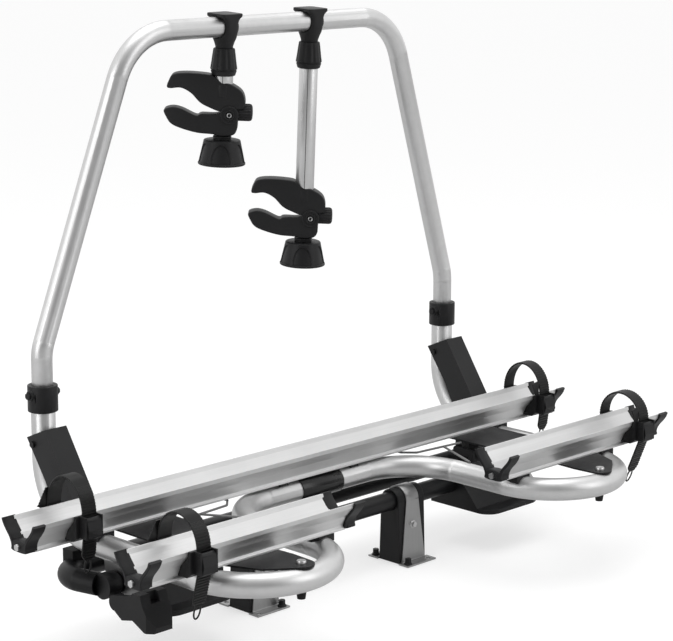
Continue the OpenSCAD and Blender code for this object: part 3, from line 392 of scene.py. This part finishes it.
SMOOTH_BLACK = grained("smooth black plastic", grey(0.005), grey(0.009), (0.22, 0.30), 900.0, 20 * MICRON,
                       0.4)
STRAP_PLASTIC = grained("strap plastic", grey(0.006), grey(0.012), (0.34, 0.46), 1600.0, 30 * MICRON)
RUBBER = grained("black rubber", grey(0.006), grey(0.012), (0.62, 0.80), 1200.0, 80 * MICRON)
# Painted shade: the dark colour of the thin strip laid down each holder arm
PAINTED_ARM_SHADE = grained("painted arm shade", grey(0.06), grey(0.09), (0.5, 0.6), 900.0, 20 * MICRON)
CABLE_SHEATH = grained("grey cable sheath", grey(0.17), grey(0.24), (0.35, 0.5), 1500.0, 40 * MICRON)

# Each CAD node has its slot's finish, apart from those named here
SLOT_FINISH = {"silver_alloy": ANODISED_TUBE, "silver_steel": SATIN_STEEL, "black_coat": BLACK_COAT,
               "black_plastic": BLACK_PLASTIC, "black_rubber": RUBBER}
NODE_FINISH = {
    "platform_tube": ANODISED_TUBE, "hoop": ANODISED_TUBE,
    "holder_arm_1": ANODISED_TUBE, "holder_arm_2": ANODISED_TUBE,
    "rear_rail": EXTRUDED_RAIL, "front_rail_left": EXTRUDED_RAIL, "front_rail_right": EXTRUDED_RAIL,
    "hinge_cheeks": SATIN_STEEL, "foot_straps": SATIN_STEEL,
    "rail_cap_bolts": BRIGHT_BOLT, "saddle_bolts": BRIGHT_BOLT,
    "jaw_bolt_1": BLACK_COAT, "jaw_bolt_2": BLACK_COAT,
    "grip_sleeve": SMOOTH_BLACK, "corner_braces": GREY_PLASTIC, "release_cable": CABLE_SHEATH,
    "hoop_collars": BLACK_PLASTIC, "foot_pedal": BLACK_PLASTIC, "upright_bolts": BLACK_PLASTIC,
    "rest_pads": RUBBER, "rubber_studs": RUBBER, "clamp_liner_1": RUBBER, "clamp_liner_2": RUBBER,
}
PLAIN_EDGE = 0.5 * MM
SOFT_EDGE = {
    "corner_braces": 2.2 * MM, "clamp_housings": 2 * MM, "tube_end_caps": 2 * MM,
    "foot_pedal": 1.5 * MM, "foot_blocks": 1.5 * MM, "hoop_collars": 1.5 * MM,
    "hinge_cheeks": 0.8 * MM, "foot_straps": 0.6 * MM,
}


def dressed(cad, name):
    """Gives a CAD node its finish and broken edges."""
    cad.data.materials.clear()
    cad.data.materials.append(NODE_FINISH.get(name, SLOT_FINISH[slot_of_node[name]]))
    weld = cad.modifiers.new("joined skin", "WELD")
    weld.merge_threshold = 2 * MICRON
    edge = cad.modifiers.new("broken edge", "BEVEL")
    edge.width = SOFT_EDGE.get(name, PLAIN_EDGE)
    edge.segments = 2
    edge.limit_method = "ANGLE"
    edge.angle_limit = math.radians(38)
    edge.harden_normals = True
    edge.use_clamp_overlap = True


for name, cad in nodes.items():
    dressed(cad, name)

# Wheel straps, each drawn in (y, z) from the middle of its rail's foot
STRAP_HALF = 0.014
STRAP_TAIL = [0.100, 0.116, 0.096, 0.125]
STRAP_LEAN = [0.008, 0.020, 0.008, 0.034]
ARCH_H = [0.0545, 0.0495, 0.0545, 0.0455]
BAND_MID = 0.0445
BAND_FOOT_SHARE = 0.12
LEAN_START = 0.039
BAND_STOP = 0.024
BAND_STEP = 0.0006
TOOTH = 0.0048
TOOTH_H = 0.0013
TAPER = 0.012
TIP_HALF = 0.006

# Across the band: share of the half width, height, and 1 where the saw teeth stand
BAND_SECTION = np.array([[-1, 0, 0], [-1, 0.0008, 0], [-0.95, 0.0012, 1], [-0.3, 0.0012, 1],
                         [0.3, 0.0012, 1], [0.95, 0.0012, 1], [1, 0.0008, 0], [1, 0, 0],
                         [0.95, -0.0012, 0], [0, -0.0012, 0], [-0.95, -0.0012, 0]])

RING_HALF_W = 0.0062
RING_HALF_L = 0.0130
RING_BACK = 0.0145
RING_WIRE = 0.0014

FAN_LOW = -0.012
FAN_HIGH = 0.028
FAN_TOOTH = 0.0044
FAN_TOOTH_W = 0.0018
FAN_RIGHT = 0.0138
FAN_Y = [0.0455, 0.0475]

# Left edge of the fan: height over the rail's top, and place along the rail
FAN_EDGE = np.array([[FAN_LOW, -0.014], [0.0, -0.031], [0.003, -0.0285], [FAN_HIGH, -0.014]])


def strap_path(n):
    """A strap's side view as even steps: up the rear wall, half an ellipse with half axes BAND_MID and the
    arch's height over the wheel, down the front wall, and leaning in to its end."""
    q = np.linspace(0, math.pi, 400)
    arch = np.stack([BAND_MID * np.cos(q), RAIL_H + ARCH_H[n] * np.sin(q)], 1)
    start = [[BAND_MID, RAIL_H * BAND_FOOT_SHARE]]
    bend = [[-BAND_MID, RAIL_H - LEAN_START]]
    end = [[STRAP_LEAN[n] - BAND_MID, RAIL_H - STRAP_TAIL[n]]]
    corners = np.concatenate([start, arch, bend, end])
    run = np.insert(np.cumsum(np.linalg.norm(np.diff(corners, axis=0), axis=1)), 0, 0)
    s = np.arange(0, run[-1] - BAND_STOP, BAND_STEP)
    return np.stack([np.interp(s, run, corners[:, 0]), np.interp(s, run, corners[:, 1])], 1), s


def strap_grid(n):
    """The toothed band: its outer face rises to saw teeth, and over its last 12 mm it narrows as a quarter
    wave."""
    path, s = strap_path(n)
    tooth = TOOTH_H * (1 - (s / TOOTH) % 1)
    end = np.clip((s[-1] - s) / TAPER, 0, 1)
    half = TIP_HALF + (STRAP_HALF - TIP_HALF) * np.sin(end * math.pi / 2)
    a = BAND_SECTION[:, 0] * half[:, None]
    b = BAND_SECTION[:, 1] + BAND_SECTION[:, 2] * tooth[:, None]
    points = np.stack([0 * s, path[:, 0], path[:, 1]], 1)
    return carried(points, np.stack([a, b], -1), (1, 0, 0)) + STRAP_FOOT[n]


def ring_grid(n):
    """The strap's pull ring: a wire along an ellipse in the plane of the hanging end."""
    tip = np.array([0, STRAP_LEAN[n] - BAND_MID, RAIL_H - STRAP_TAIL[n]])
    way = np.array([0, STRAP_LEAN[n], LEAN_START - STRAP_TAIL[n]])
    way /= np.linalg.norm(way)
    q = np.linspace(0, 2 * math.pi, 48, endpoint=False)[:, None]
    across = np.array([1, 0, 0])
    loop = tip - RING_BACK * way + RING_HALF_W * np.cos(q) * across + RING_HALF_L * np.sin(q) * way
    return wire(loop, RING_WIRE, np.cross(way, across)) + STRAP_FOOT[n]


def fan_grid(n):
    """The left straps' fixed end: a plate that leans on the rear wall, with a saw-toothed left edge."""
    z = np.linspace(FAN_LOW, FAN_HIGH, 97)
    tooth = FAN_TOOTH_W * (1 - (z / FAN_TOOTH) % 1) * (z > 0)
    left = np.interp(z, FAN_EDGE[:, 0], FAN_EDGE[:, 1]) - tooth
    right = np.full_like(z, FAN_RIGHT)
    corners = [(left, FAN_Y[0]), (right, FAN_Y[0]), (right, FAN_Y[1]), (left, FAN_Y[1])]
    ring = np.stack([np.stack([x, 0 * z + y, z], 1) for x, y in corners], 1)
    return ring + STRAP_FOOT[n] + np.array([0, 0, RAIL_H])


LEFT_STRAPS = (0, 1)
for n in range(len(STRAP_FOOT)):
    grids = [strap_grid(n), ring_grid(n)]
    if n in LEFT_STRAPS:
        grids.append(fan_grid(n))
    made(f"wheel_strap_{n + 1}", grids, STRAP_PLASTIC, f"strap_{n + 1}", [f"strap_band_{n + 1}"], crease=28)

# Rail caps, drawn in (y, z) from the middle of the rail's foot
CAP_HALF = 0.012
CAP_OUT = 0.020
CAP_PUSH = 0.0004
CAP_BLOCK_HALF = 0.0095
CAP_BLOCK_IN = 0.0098
CAP_BLOCK_RIM = 0.0018
CAP_WALL = np.array([[0.0150, 0.003], [0.0150, 0.010], [0.0165, 0.016], [0.0215, 0.0245], [0.0292, 0.0325],
                     [0.0355, 0.0405], [0.0378, 0.0455], [0.0390, 0.0490]])
CAP_BLOCK = [[-0.0165, 0.001], [0.0165, 0.001], [0.0185, 0.009], [0.015, 0.017], [0.006, 0.0195],
             [-0.006, 0.0195], [-0.015, 0.017], [-0.0185, 0.009]]
CAP_SMOOTHINGS = 6

# Across a cap's arm: place along the rail and height off the rail's wall, with broken corners
CAP_RIM = [[-0.0120, -0.0018], [-0.0120, 0.0020], [-0.0106, 0.0030], [0.0106, 0.0030],
           [0.0120, 0.0020], [0.0120, -0.0018], [0.0106, -0.0027], [-0.0106, -0.0027]]


def cap_arm(side):
    """One arm of a rail cap: the rail's wall line, smoothed, with its tip curled outward."""
    t = np.linspace(0, len(CAP_WALL) - 1, 40)
    k = np.arange(len(CAP_WALL))
    line = np.stack([np.interp(t, k, CAP_WALL[:, 0]), np.interp(t, k, CAP_WALL[:, 1])], 1)
    for _ in range(CAP_SMOOTHINGS):
        line[1:-1] = (line[:-2] + 2 * line[1:-1] + line[2:]) / 4
    return line * np.array([side, 1])


def cap_grids(x, y, way):
    """A rail cap: two arms with broken rims that hold the rail's walls between their faces, and a base
    block."""
    middle = np.array([x + way * (CAP_OUT - CAP_HALF), y, RAIL_Z])
    grids = []
    for side in (-1, 1):
        line = cap_arm(side)
        points = np.stack([0 * line[:, 0], line[:, 0] + side * CAP_PUSH, line[:, 1]], 1)
        grids.append(carried(points, CAP_RIM, (side, 0, 0)) + middle)
    block = slab(smooth_loop(CAP_BLOCK, per=5), CAP_BLOCK_HALF, CAP_BLOCK_RIM)
    block = np.stack([block[..., 1] * way, block[..., 0], block[..., 2]], -1)
    grids.append(block + np.array([x + way * (CAP_OUT - CAP_BLOCK_IN), y, RAIL_Z]))
    return grids


made("rail_caps", [g for end in RAIL_ENDS for g in cap_grids(*end)], BLACK_PLASTIC, "platform",
     ["rail_end_caps"])


# Bike holders: where their pieces are drawn from
def bar_matrix(k):
    """From the middle of a holder's clamp: X along the bar, Z up the arm."""
    x, z = axis_of(f"holder_swing_{k}"), axis_of(f"arm_turn_{k}")
    return np.stack([x, np.cross(z, x), z, place_of(f"holder_swing_{k}")], 1)


def arm_length(k):
    """From the bar's middle down the arm to the height of the jaw's pin."""
    down = place_of(f"holder_swing_{k}") - place_of(f"jaw_close_{k}")
    return down @ axis_of(f"arm_turn_{k}")


def jaw_matrix(k):
    """From a jaw's pin: X to the jaw's tip, Y along the pin, Z up the arm."""
    y, z = -axis_of(f"jaw_close_{k}"), axis_of(f"arm_turn_{k}")
    return np.stack([np.cross(y, z), y, z, place_of(f"jaw_close_{k}")], 1)


def arm_matrix(k):
    """As the jaw's, but from the arm's own axis at the height of the pin."""
    matrix = jaw_matrix(k)
    matrix[:, 3] = place_of(f"holder_swing_{k}") - arm_length(k) * axis_of(f"arm_turn_{k}")
    return matrix


# Bar clamp: height, half width along the bar, half width across it and squareness of its sections, in mm
CLAMP = np.array([[-36.0, 15.0, 15.0, 2.0], [-33.0, 15.3, 15.3, 2.0], [-26.0, 16.4, 17.5, 2.2],
                  [-18.0, 18.0, 20.5, 2.6], [-10.0, 17.3, 22.4, 3.0], [-2.0, 16.0, 23.0, 3.6],
                  [6.0, 15.7, 23.0, 4.2], [11.0, 16.6, 23.0, 5.0], [14.5, 18.8, 23.0, 6.0],
                  [17.0, 22.4, 23.0, 7.0], [18.2, 23.4, 23.0, 8.0], [21.8, 23.5, 23.0, 8.0],
                  [22.7, 23.2, 22.7, 8.0], [23.0, 22.2, 21.7, 8.0]])
SPIGOT = [[0.0120, -0.0358], [0.0143, -0.0362], [0.0143, -0.0800], [0.0133, -0.0810]]
BORE_R = 0.0197
BORE_REACH = 0.03


def clamp_grid():
    """The bar clamp's skin: at each height a superellipse, whose point at angle t lies a |cos t|^(2/n) and
    b |sin t|^(2/n) from the middle, with its signs; between the table's rows all runs along straight
    lines."""
    z = np.unique(np.concatenate([CLAMP[:, 0], np.linspace(CLAMP[0, 0], CLAMP[-1, 0], 40)]))
    a, b, n = (np.interp(z, CLAMP[:, 0], CLAMP[:, i])[:, None] for i in (1, 2, 3))
    t = np.linspace(0, 2 * math.pi, 96, endpoint=False)[None, :]
    x = a * np.sign(np.cos(t)) * np.abs(np.cos(t)) ** (2 / n)
    y = b * np.sign(np.sin(t)) * np.abs(np.sin(t)) ** (2 / n)
    return np.stack([x, y, np.broadcast_to(z[:, None], x.shape)], -1) * MM


def bar_saddle(k):
    """The clamp on the bar, bored for the bar's liner, with the spigot that the arm turns on."""
    bar = bar_matrix(k)
    saddle = made(f"bar_saddle_{k}", [placed(clamp_grid(), bar), placed(revolved(SPIGOT), bar)],
                  BLACK_PLASTIC, body_of_node[f"bar_clamp_{k}"], [f"bar_clamp_{k}"], crease=40)
    hole = revolved([[BORE_R, -BORE_REACH], [BORE_R, BORE_REACH]], turns=64)
    bored(saddle, placed(along_x(hole), bar))


TWIST = [[0.0166, -0.0364], [0.0178, -0.0366], [0.0185, -0.0376], [0.0200, -0.0480], [0.0215, -0.0600],
         [0.0230, -0.0700], [0.0230, -0.0718], [0.0216, -0.0726], [0.0214, -0.0740], [0.0224, -0.0746],
         [0.0200, -0.0822], [0.0182, -0.0832], [0.0166, -0.0832]]
TWIST_GROOVE = 0.055
TWIST_GROOVED = (0.12, 0.55)


def twist_wave(q, share):
    """Eight narrow grooves down the flared part: |sin 4q|^6 of their depth."""
    first, last = TWIST_GROOVED
    return 1 - TWIST_GROOVE * np.abs(np.sin(4 * q)) ** 6 * (share > first) * (share < last)


def twist_grip(k):
    """The flared sleeve under the clamp."""
    sleeve = revolved(TWIST, turns=96, wave=twist_wave)
    made(f"twist_grip_{k}", [placed(sleeve, bar_matrix(k))], BLACK_PLASTIC, f"arm_{k}",
         [f"twist_sleeve_{k}"], crease=32)


LINE_HEADING = math.radians(223)
LINE_HALF = 0.0006
LINE_FACES = (0.0160, 0.01662)
LINE_TOP = -0.082
LINE_END = 0.050


def arm_shade_line(k):
    """A dark line down the arm's extrusion, on the side that faces the rails: painted shade, drawn as a thin strip
    on the tube.
    """
    near, far = LINE_FACES
    corners = [(near, -LINE_HALF), (near, LINE_HALF), (far, LINE_HALF), (far, -LINE_HALF)]
    c, s = math.cos(LINE_HEADING), math.sin(LINE_HEADING)
    heights = (LINE_END - arm_length(k), LINE_TOP)
    line = np.array([[(a * c - b * s, a * s + b * c, z) for a, b in corners] for z in heights])
    made(f"arm_shade_line_{k}", [placed(line, bar_matrix(k))], PAINTED_ARM_SHADE, f"arm_{k}")


# Jaws, drawn from their pin as shares of their reach
JAW_REACH = 0.109
JAW_HALF = 0.0168
JAW_RIM = 0.0026
UPPER = [[0.985, 0.415], [0.96, 0.51], [0.886, 0.615], [0.666, 0.645], [0.349, 0.628], [0.24, 0.59],
         [0.14, 0.52], [-0.03, 0.477], [-0.193, 0.367], [-0.243, 0.207], [-0.2, 0.1], [0, 0.08],
         [0.147, 0.052], [0.305, 0.104], [0.462, 0.183], [0.609, 0.328], [0.767, 0.404], [0.926, 0.392]]
LOWER = [[1.027, 0.052], [0.908, 0.098], [0.756, 0.075], [0.53, -0.023], [0.44, 0.005], [0.19, 0.012],
         [0.06, 0.10], [-0.06, 0.11], [-0.13, 0.02], [-0.13, -0.12], [-0.12, -0.24], [-0.055, -0.317],
         [0.124, -0.339], [0.26, -0.311], [0.508, -0.294], [0.767, -0.229], [0.914, -0.161],
         [0.99, -0.058]]
BARREL = [[0.004, -0.0395], [0.0105, -0.0390], [0.0138, -0.0372], [0.0150, -0.0340], [0.0150, -0.0280],
          [0.0150, -0.0220], [0.0150, -0.0120]]
BARREL_Z = 0.00375
BARREL_CUT = 0.07
BARREL_PLAIN = 0.3
COLLAR = [[0.0168, 0.030], [0.0182, 0.032], [0.0182, 0.050], [0.0172, 0.052], [0.0166, 0.052]]
BOSS = [[0.0158, 0.0150], [0.0158, 0.0186], [0.0150, 0.0194], [0.0128, 0.0194], [0.0120, 0.0184],
        [0.0100, 0.0182], [0.0090, 0.0195], [0.0072, 0.0195], [0.0064, 0.0188], [0.0064, 0.0150]]
PIN_RING_R = 0.0034
PIN_RING_OUT = 0.0191
PIN_RING_WIRE = 0.0007


def jaw_slab(shares):
    """A jaw's body from its outline."""
    outline = smooth_loop(np.array(shares) * JAW_REACH, per=6)
    return slab(outline, JAW_HALF, JAW_RIM, steps=5)


def barrel_wave(q, share):
    """Eighteen square cuts along the barrel, past its plain tip."""
    return 1 - BARREL_CUT * (np.sin(18 * q) > 0) * (share > BARREL_PLAIN)


def upper_grip(k):
    """The fixed jaw, with its knurled barrel and the collar that holds the arm."""
    barrel = along_x(revolved(BARREL, turns=72, wave=barrel_wave)) + np.array([0, 0, BARREL_Z])
    grids = [placed(g, jaw_matrix(k)) for g in (jaw_slab(UPPER), barrel)]
    grids.append(placed(revolved(COLLAR), arm_matrix(k)))
    made(f"upper_grip_{k}", grids, GREY_PLASTIC, f"arm_{k}", [f"upper_jaw_{k}"])


def lower_grip(k):
    """The turning jaw, with a stepped boss round the pin on each side."""
    bosses = [along_y(revolved(BOSS) * np.array([1, 1, side])) for side in (-1, 1)]
    grids = [placed(g, jaw_matrix(k)) for g in [jaw_slab(LOWER), *bosses]]
    made(f"lower_grip_{k}", grids, GREY_PLASTIC, f"jaw_{k}", [f"lower_jaw_{k}"])


def pin_rings(k):
    """A bright ring round the socket at each end of the jaw's pin."""
    q = np.linspace(0, 2 * math.pi, 32, endpoint=False)
    ring = np.stack([PIN_RING_R * np.cos(q), 0 * q, PIN_RING_R * np.sin(q)], 1)
    ends = [ring + np.array([0, side * PIN_RING_OUT, 0]) for side in (-1, 1)]
    rings = [placed(wire(end, PIN_RING_WIRE, (0, 1, 0), sides=8), jaw_matrix(k)) for end in ends]
    made(f"jaw_pin_rings_{k}", rings, BRIGHT_BOLT, body_of_node[f"jaw_bolt_{k}"])


# Clamping knob, drawn from the arm's axis at the height of the pin
KNOB_Z = np.concatenate([[-0.0441, -0.0446, -0.0455], np.linspace(-0.0475, -0.0825, 44),
                         [-0.0832, -0.0838, -0.0862, -0.0870]])
KNOB_CONE = np.array([[-0.0870, 0.0402], [-0.0862, 0.0410], [-0.0838, 0.0410], [-0.0832, 0.0404],
                      [-0.0825, 0.0398], [-0.0455, 0.0318], [-0.0446, 0.0308], [-0.0441, 0.0290]])
PANEL_FOOT = -0.0828
PANEL_RISE = 0.0325
PANEL_HALF = 0.0185
PANEL_DEPTH = 0.0024
PANEL_BORDER = 0.0016
KNOB_NECK = [[0.0030, -0.0375], [0.0152, -0.0376], [0.0160, -0.0384], [0.0160, -0.0398], [0.0148, -0.0404],
             [0.0148, -0.0410], [0.0160, -0.0416], [0.0160, -0.0430], [0.0150, -0.0438], [0.0150, -0.0450]]


def knob_grid():
    """A cone with six arched panels sunk into it. A panel's half width at height z is PANEL_HALF times
    sqrt(1 - ((z - foot) / rise)^2), and its border is smoothed as 3t^2 - 2t^3."""
    z = KNOB_Z
    cone = np.interp(z, KNOB_CONE[:, 0], KNOB_CONE[:, 1])[:, None]
    q = np.linspace(0, 2 * math.pi, 360, endpoint=False)
    off = np.abs(q % (math.pi / 3) - math.pi / 6)[None, :] * cone
    arch = np.sqrt(np.clip(1 - ((z - PANEL_FOOT) / PANEL_RISE) ** 2, 0, 1))[:, None]
    t = np.clip((PANEL_HALF * arch - off) / PANEL_BORDER, 0, 1) * (z > PANEL_FOOT)[:, None]
    r = cone - PANEL_DEPTH * t * t * (3 - 2 * t)
    return np.stack([r * np.cos(q), r * np.sin(q), np.broadcast_to(z[:, None], r.shape)], -1)


def clamp_knob(k):
    """The knob with its ribbed neck."""
    grids = [placed(g, arm_matrix(k)) for g in (knob_grid(), revolved(KNOB_NECK, turns=64))]
    made(f"clamp_knob_{k}", grids, BLACK_PLASTIC, f"knob_{k}", [f"jaw_knob_{k}"], crease=32)


for k in (1, 2):
    for piece_of_holder in (bar_saddle, upper_grip, lower_grip, pin_rings, clamp_knob, twist_grip, arm_shade_line):
        piece_of_holder(k)

# Small fasteners
EYE_HEAD = [[0.0078, 0.0], [0.0078, 0.0034], [0.0070, 0.0046], [0.0050, 0.0048], [0.0030, 0.0042]]
EYE_PLACE = (0.370, -0.306, 0.1921)
FACE_WASHER = [[0.0072, 0.0], [0.0072, 0.0010], [0.0066, 0.0014], [0.0030, 0.0014]]
FACE_HEAD_AF = 0.0095
FACE_HEAD_H = 0.0060
FACE_HEAD_CHAMFER = 0.0006
FACE_PLACE = (0.185, -0.0262, 0.070)


def mirrored_place(place, side):
    """A place, or for side -1 its mirror image in x."""
    return np.array(place) * np.array([side, 1, 1])


def forward(grid):
    """A piece drawn on Z, turned so that its head looks along -Y."""
    return np.stack([grid[..., 0], -grid[..., 2], grid[..., 1]], -1)


eyes = [revolved(EYE_HEAD, turns=32) + mirrored_place(EYE_PLACE, side) for side in (-1, 1)]
made("eye_bolt_heads", eyes, BRIGHT_BOLT, "platform")

face_bolt = [revolved(FACE_WASHER, turns=32), hexagon(FACE_HEAD_AF, FACE_HEAD_H, FACE_HEAD_CHAMFER)]
face_bolts = [forward(g) + mirrored_place(FACE_PLACE, side) for side in (-1, 1) for g in face_bolt]
made("foot_face_bolts", face_bolts, BRIGHT_BOLT, body_of_node["foot_straps"])

# Camera, at the photograph's place: lens in mm for a sensor 36 mm wide
LENS = 113.73
CAMERA_SHIFT = 0.0013
CAMERA_PLACE = (-2.542, -2.541, 1.231)
CAMERA_DOWN = 11.93
CAMERA_ROLL = -0.09
CAMERA_HEADING = 44.88

camera = shown("camera", bpy.data.cameras.new("camera"))
bpy.context.scene.camera = camera
camera.data.sensor_width = 36
camera.data.lens = LENS
camera.data.shift_x = CAMERA_SHIFT
camera.data.clip_end = 50
camera.location = CAMERA_PLACE
camera.rotation_euler = [math.radians(a) for a in (90 - CAMERA_DOWN, CAMERA_ROLL, CAMERA_HEADING - 90)]

# Floor
FLOOR_HALF = 15
FLOOR_Z = -0.001
FLOOR_GREY = 0.50
SHADOW_GREY = 0.42
SEEN_GLOW = 0.62
MIRRORED_GLOW = 0.22


def white_floor():
    """White to the eye with the part's shadow on it, dimmer in the metal's reflections, and plain grey for
    the light that it throws back."""
    material = bpy.data.materials.new("white floor")
    material.use_nodes = True
    tree = material.node_tree
    tree.nodes.clear()
    sight = node(tree, "LightPath")
    seen = node(tree, "Math", operation="ADD", use_clamp=True)
    plain = node(tree, "BsdfDiffuse", Color=(*grey(FLOOR_GREY), 1))
    shade = node(tree, "BsdfDiffuse", Color=(*grey(SHADOW_GREY), 1))
    glow = node(tree, "Emission", Color=(1, 1, 1, 1), Strength=SEEN_GLOW)
    dim = node(tree, "Emission", Color=(1, 1, 1, 1), Strength=MIRRORED_GLOW)
    lit = node(tree, "AddShader")
    mirrored = node(tree, "AddShader")
    unseen = node(tree, "MixShader")
    chosen = node(tree, "MixShader")
    out = node(tree, "OutputMaterial")
    link = tree.links.new
    link(sight.outputs["Is Camera Ray"], seen.inputs[0])
    link(sight.outputs["Is Transmission Ray"], seen.inputs[1])
    link(shade.outputs["BSDF"], lit.inputs[0])
    link(glow.outputs["Emission"], lit.inputs[1])
    link(shade.outputs["BSDF"], mirrored.inputs[0])
    link(dim.outputs["Emission"], mirrored.inputs[1])
    link(sight.outputs["Is Glossy Ray"], unseen.inputs["Fac"])
    link(plain.outputs["BSDF"], unseen.inputs[1])
    link(mirrored.outputs["Shader"], unseen.inputs[2])
    link(seen.outputs["Value"], chosen.inputs["Fac"])
    link(unseen.outputs["Shader"], chosen.inputs[1])
    link(lit.outputs["Shader"], chosen.inputs[2])
    link(chosen.outputs["Shader"], out.inputs["Surface"])
    return material


floor = shown("floor", bpy.data.meshes.new("floor"))
floor_corners = [(x * FLOOR_HALF, y * FLOOR_HALF, FLOOR_Z) for x, y in ((-1, -1), (1, -1), (1, 1), (-1, 1))]
floor.data.from_pydata(floor_corners, [], [(0, 1, 2, 3)])
floor.data.materials.append(white_floor())

# Studio: white behind the part, and a soft light that is brightest on the side away from the camera
BRIGHT_WAY = (0.69, 0.69, 0.2)


def studio():
    """The world: white where the camera sees it, else brighter the more it lies along BRIGHT_WAY."""
    world = bpy.data.worlds.new("studio")
    world.use_nodes = True
    tree = world.node_tree
    tree.nodes.clear()
    sight = node(tree, "LightPath")
    way = node(tree, "TexCoord")
    facing = node(tree, "VectorMath", operation="DOT_PRODUCT")
    facing.inputs[1].default_value = BRIGHT_WAY
    level = node(tree, "MapRange", interpolation_type="SMOOTHSTEP")
    set_inputs(level, {"From Min": -0.9, "From Max": 0.3, "To Min": 0.28, "To Max": 1.0})
    white = node(tree, "Mix", data_type="FLOAT")
    set_inputs(white, {"B": 1.0})
    back = node(tree, "Background", Color=(1, 1, 1, 1))
    out = node(tree, "OutputWorld")
    link = tree.links.new
    link(way.outputs["Generated"], facing.inputs[0])
    link(facing.outputs["Value"], level.inputs["Value"])
    link(sight.outputs["Is Camera Ray"], white.inputs["Factor"])
    link(level.outputs["Result"], white.inputs["A"])
    link(white.outputs["Result"], back.inputs["Strength"])
    link(back.outputs["Background"], out.inputs["Surface"])
    return world


def softbox(name, place, aim, size, power):
    """A rectangular lamp at a place, facing a point."""
    lamp = bpy.data.lights.new(name, "AREA")
    lamp.shape = "RECTANGLE"
    lamp.size, lamp.size_y = size
    lamp.energy = power
    holder = shown(name, lamp)
    holder.location = place
    direction = Vector(aim) - Vector(place)
    holder.rotation_euler = direction.to_track_quat("-Z", "Y").to_euler()


bpy.context.scene.world = studio()
softbox("left softbox", (-3.2, 0.4, 1.6), (0, 0, 0.4), (1.6, 2.6), 30)
softbox("right softbox", (1.2, -3.4, 1.8), (0, 0, 0.4), (1.6, 2.6), 24)
softbox("top softbox", (0.2, 0.2, 3.4), (0, 0, 0.2), (2.6, 2.6), 38)

bpy.context.scene.view_settings.view_transform = "Standard"
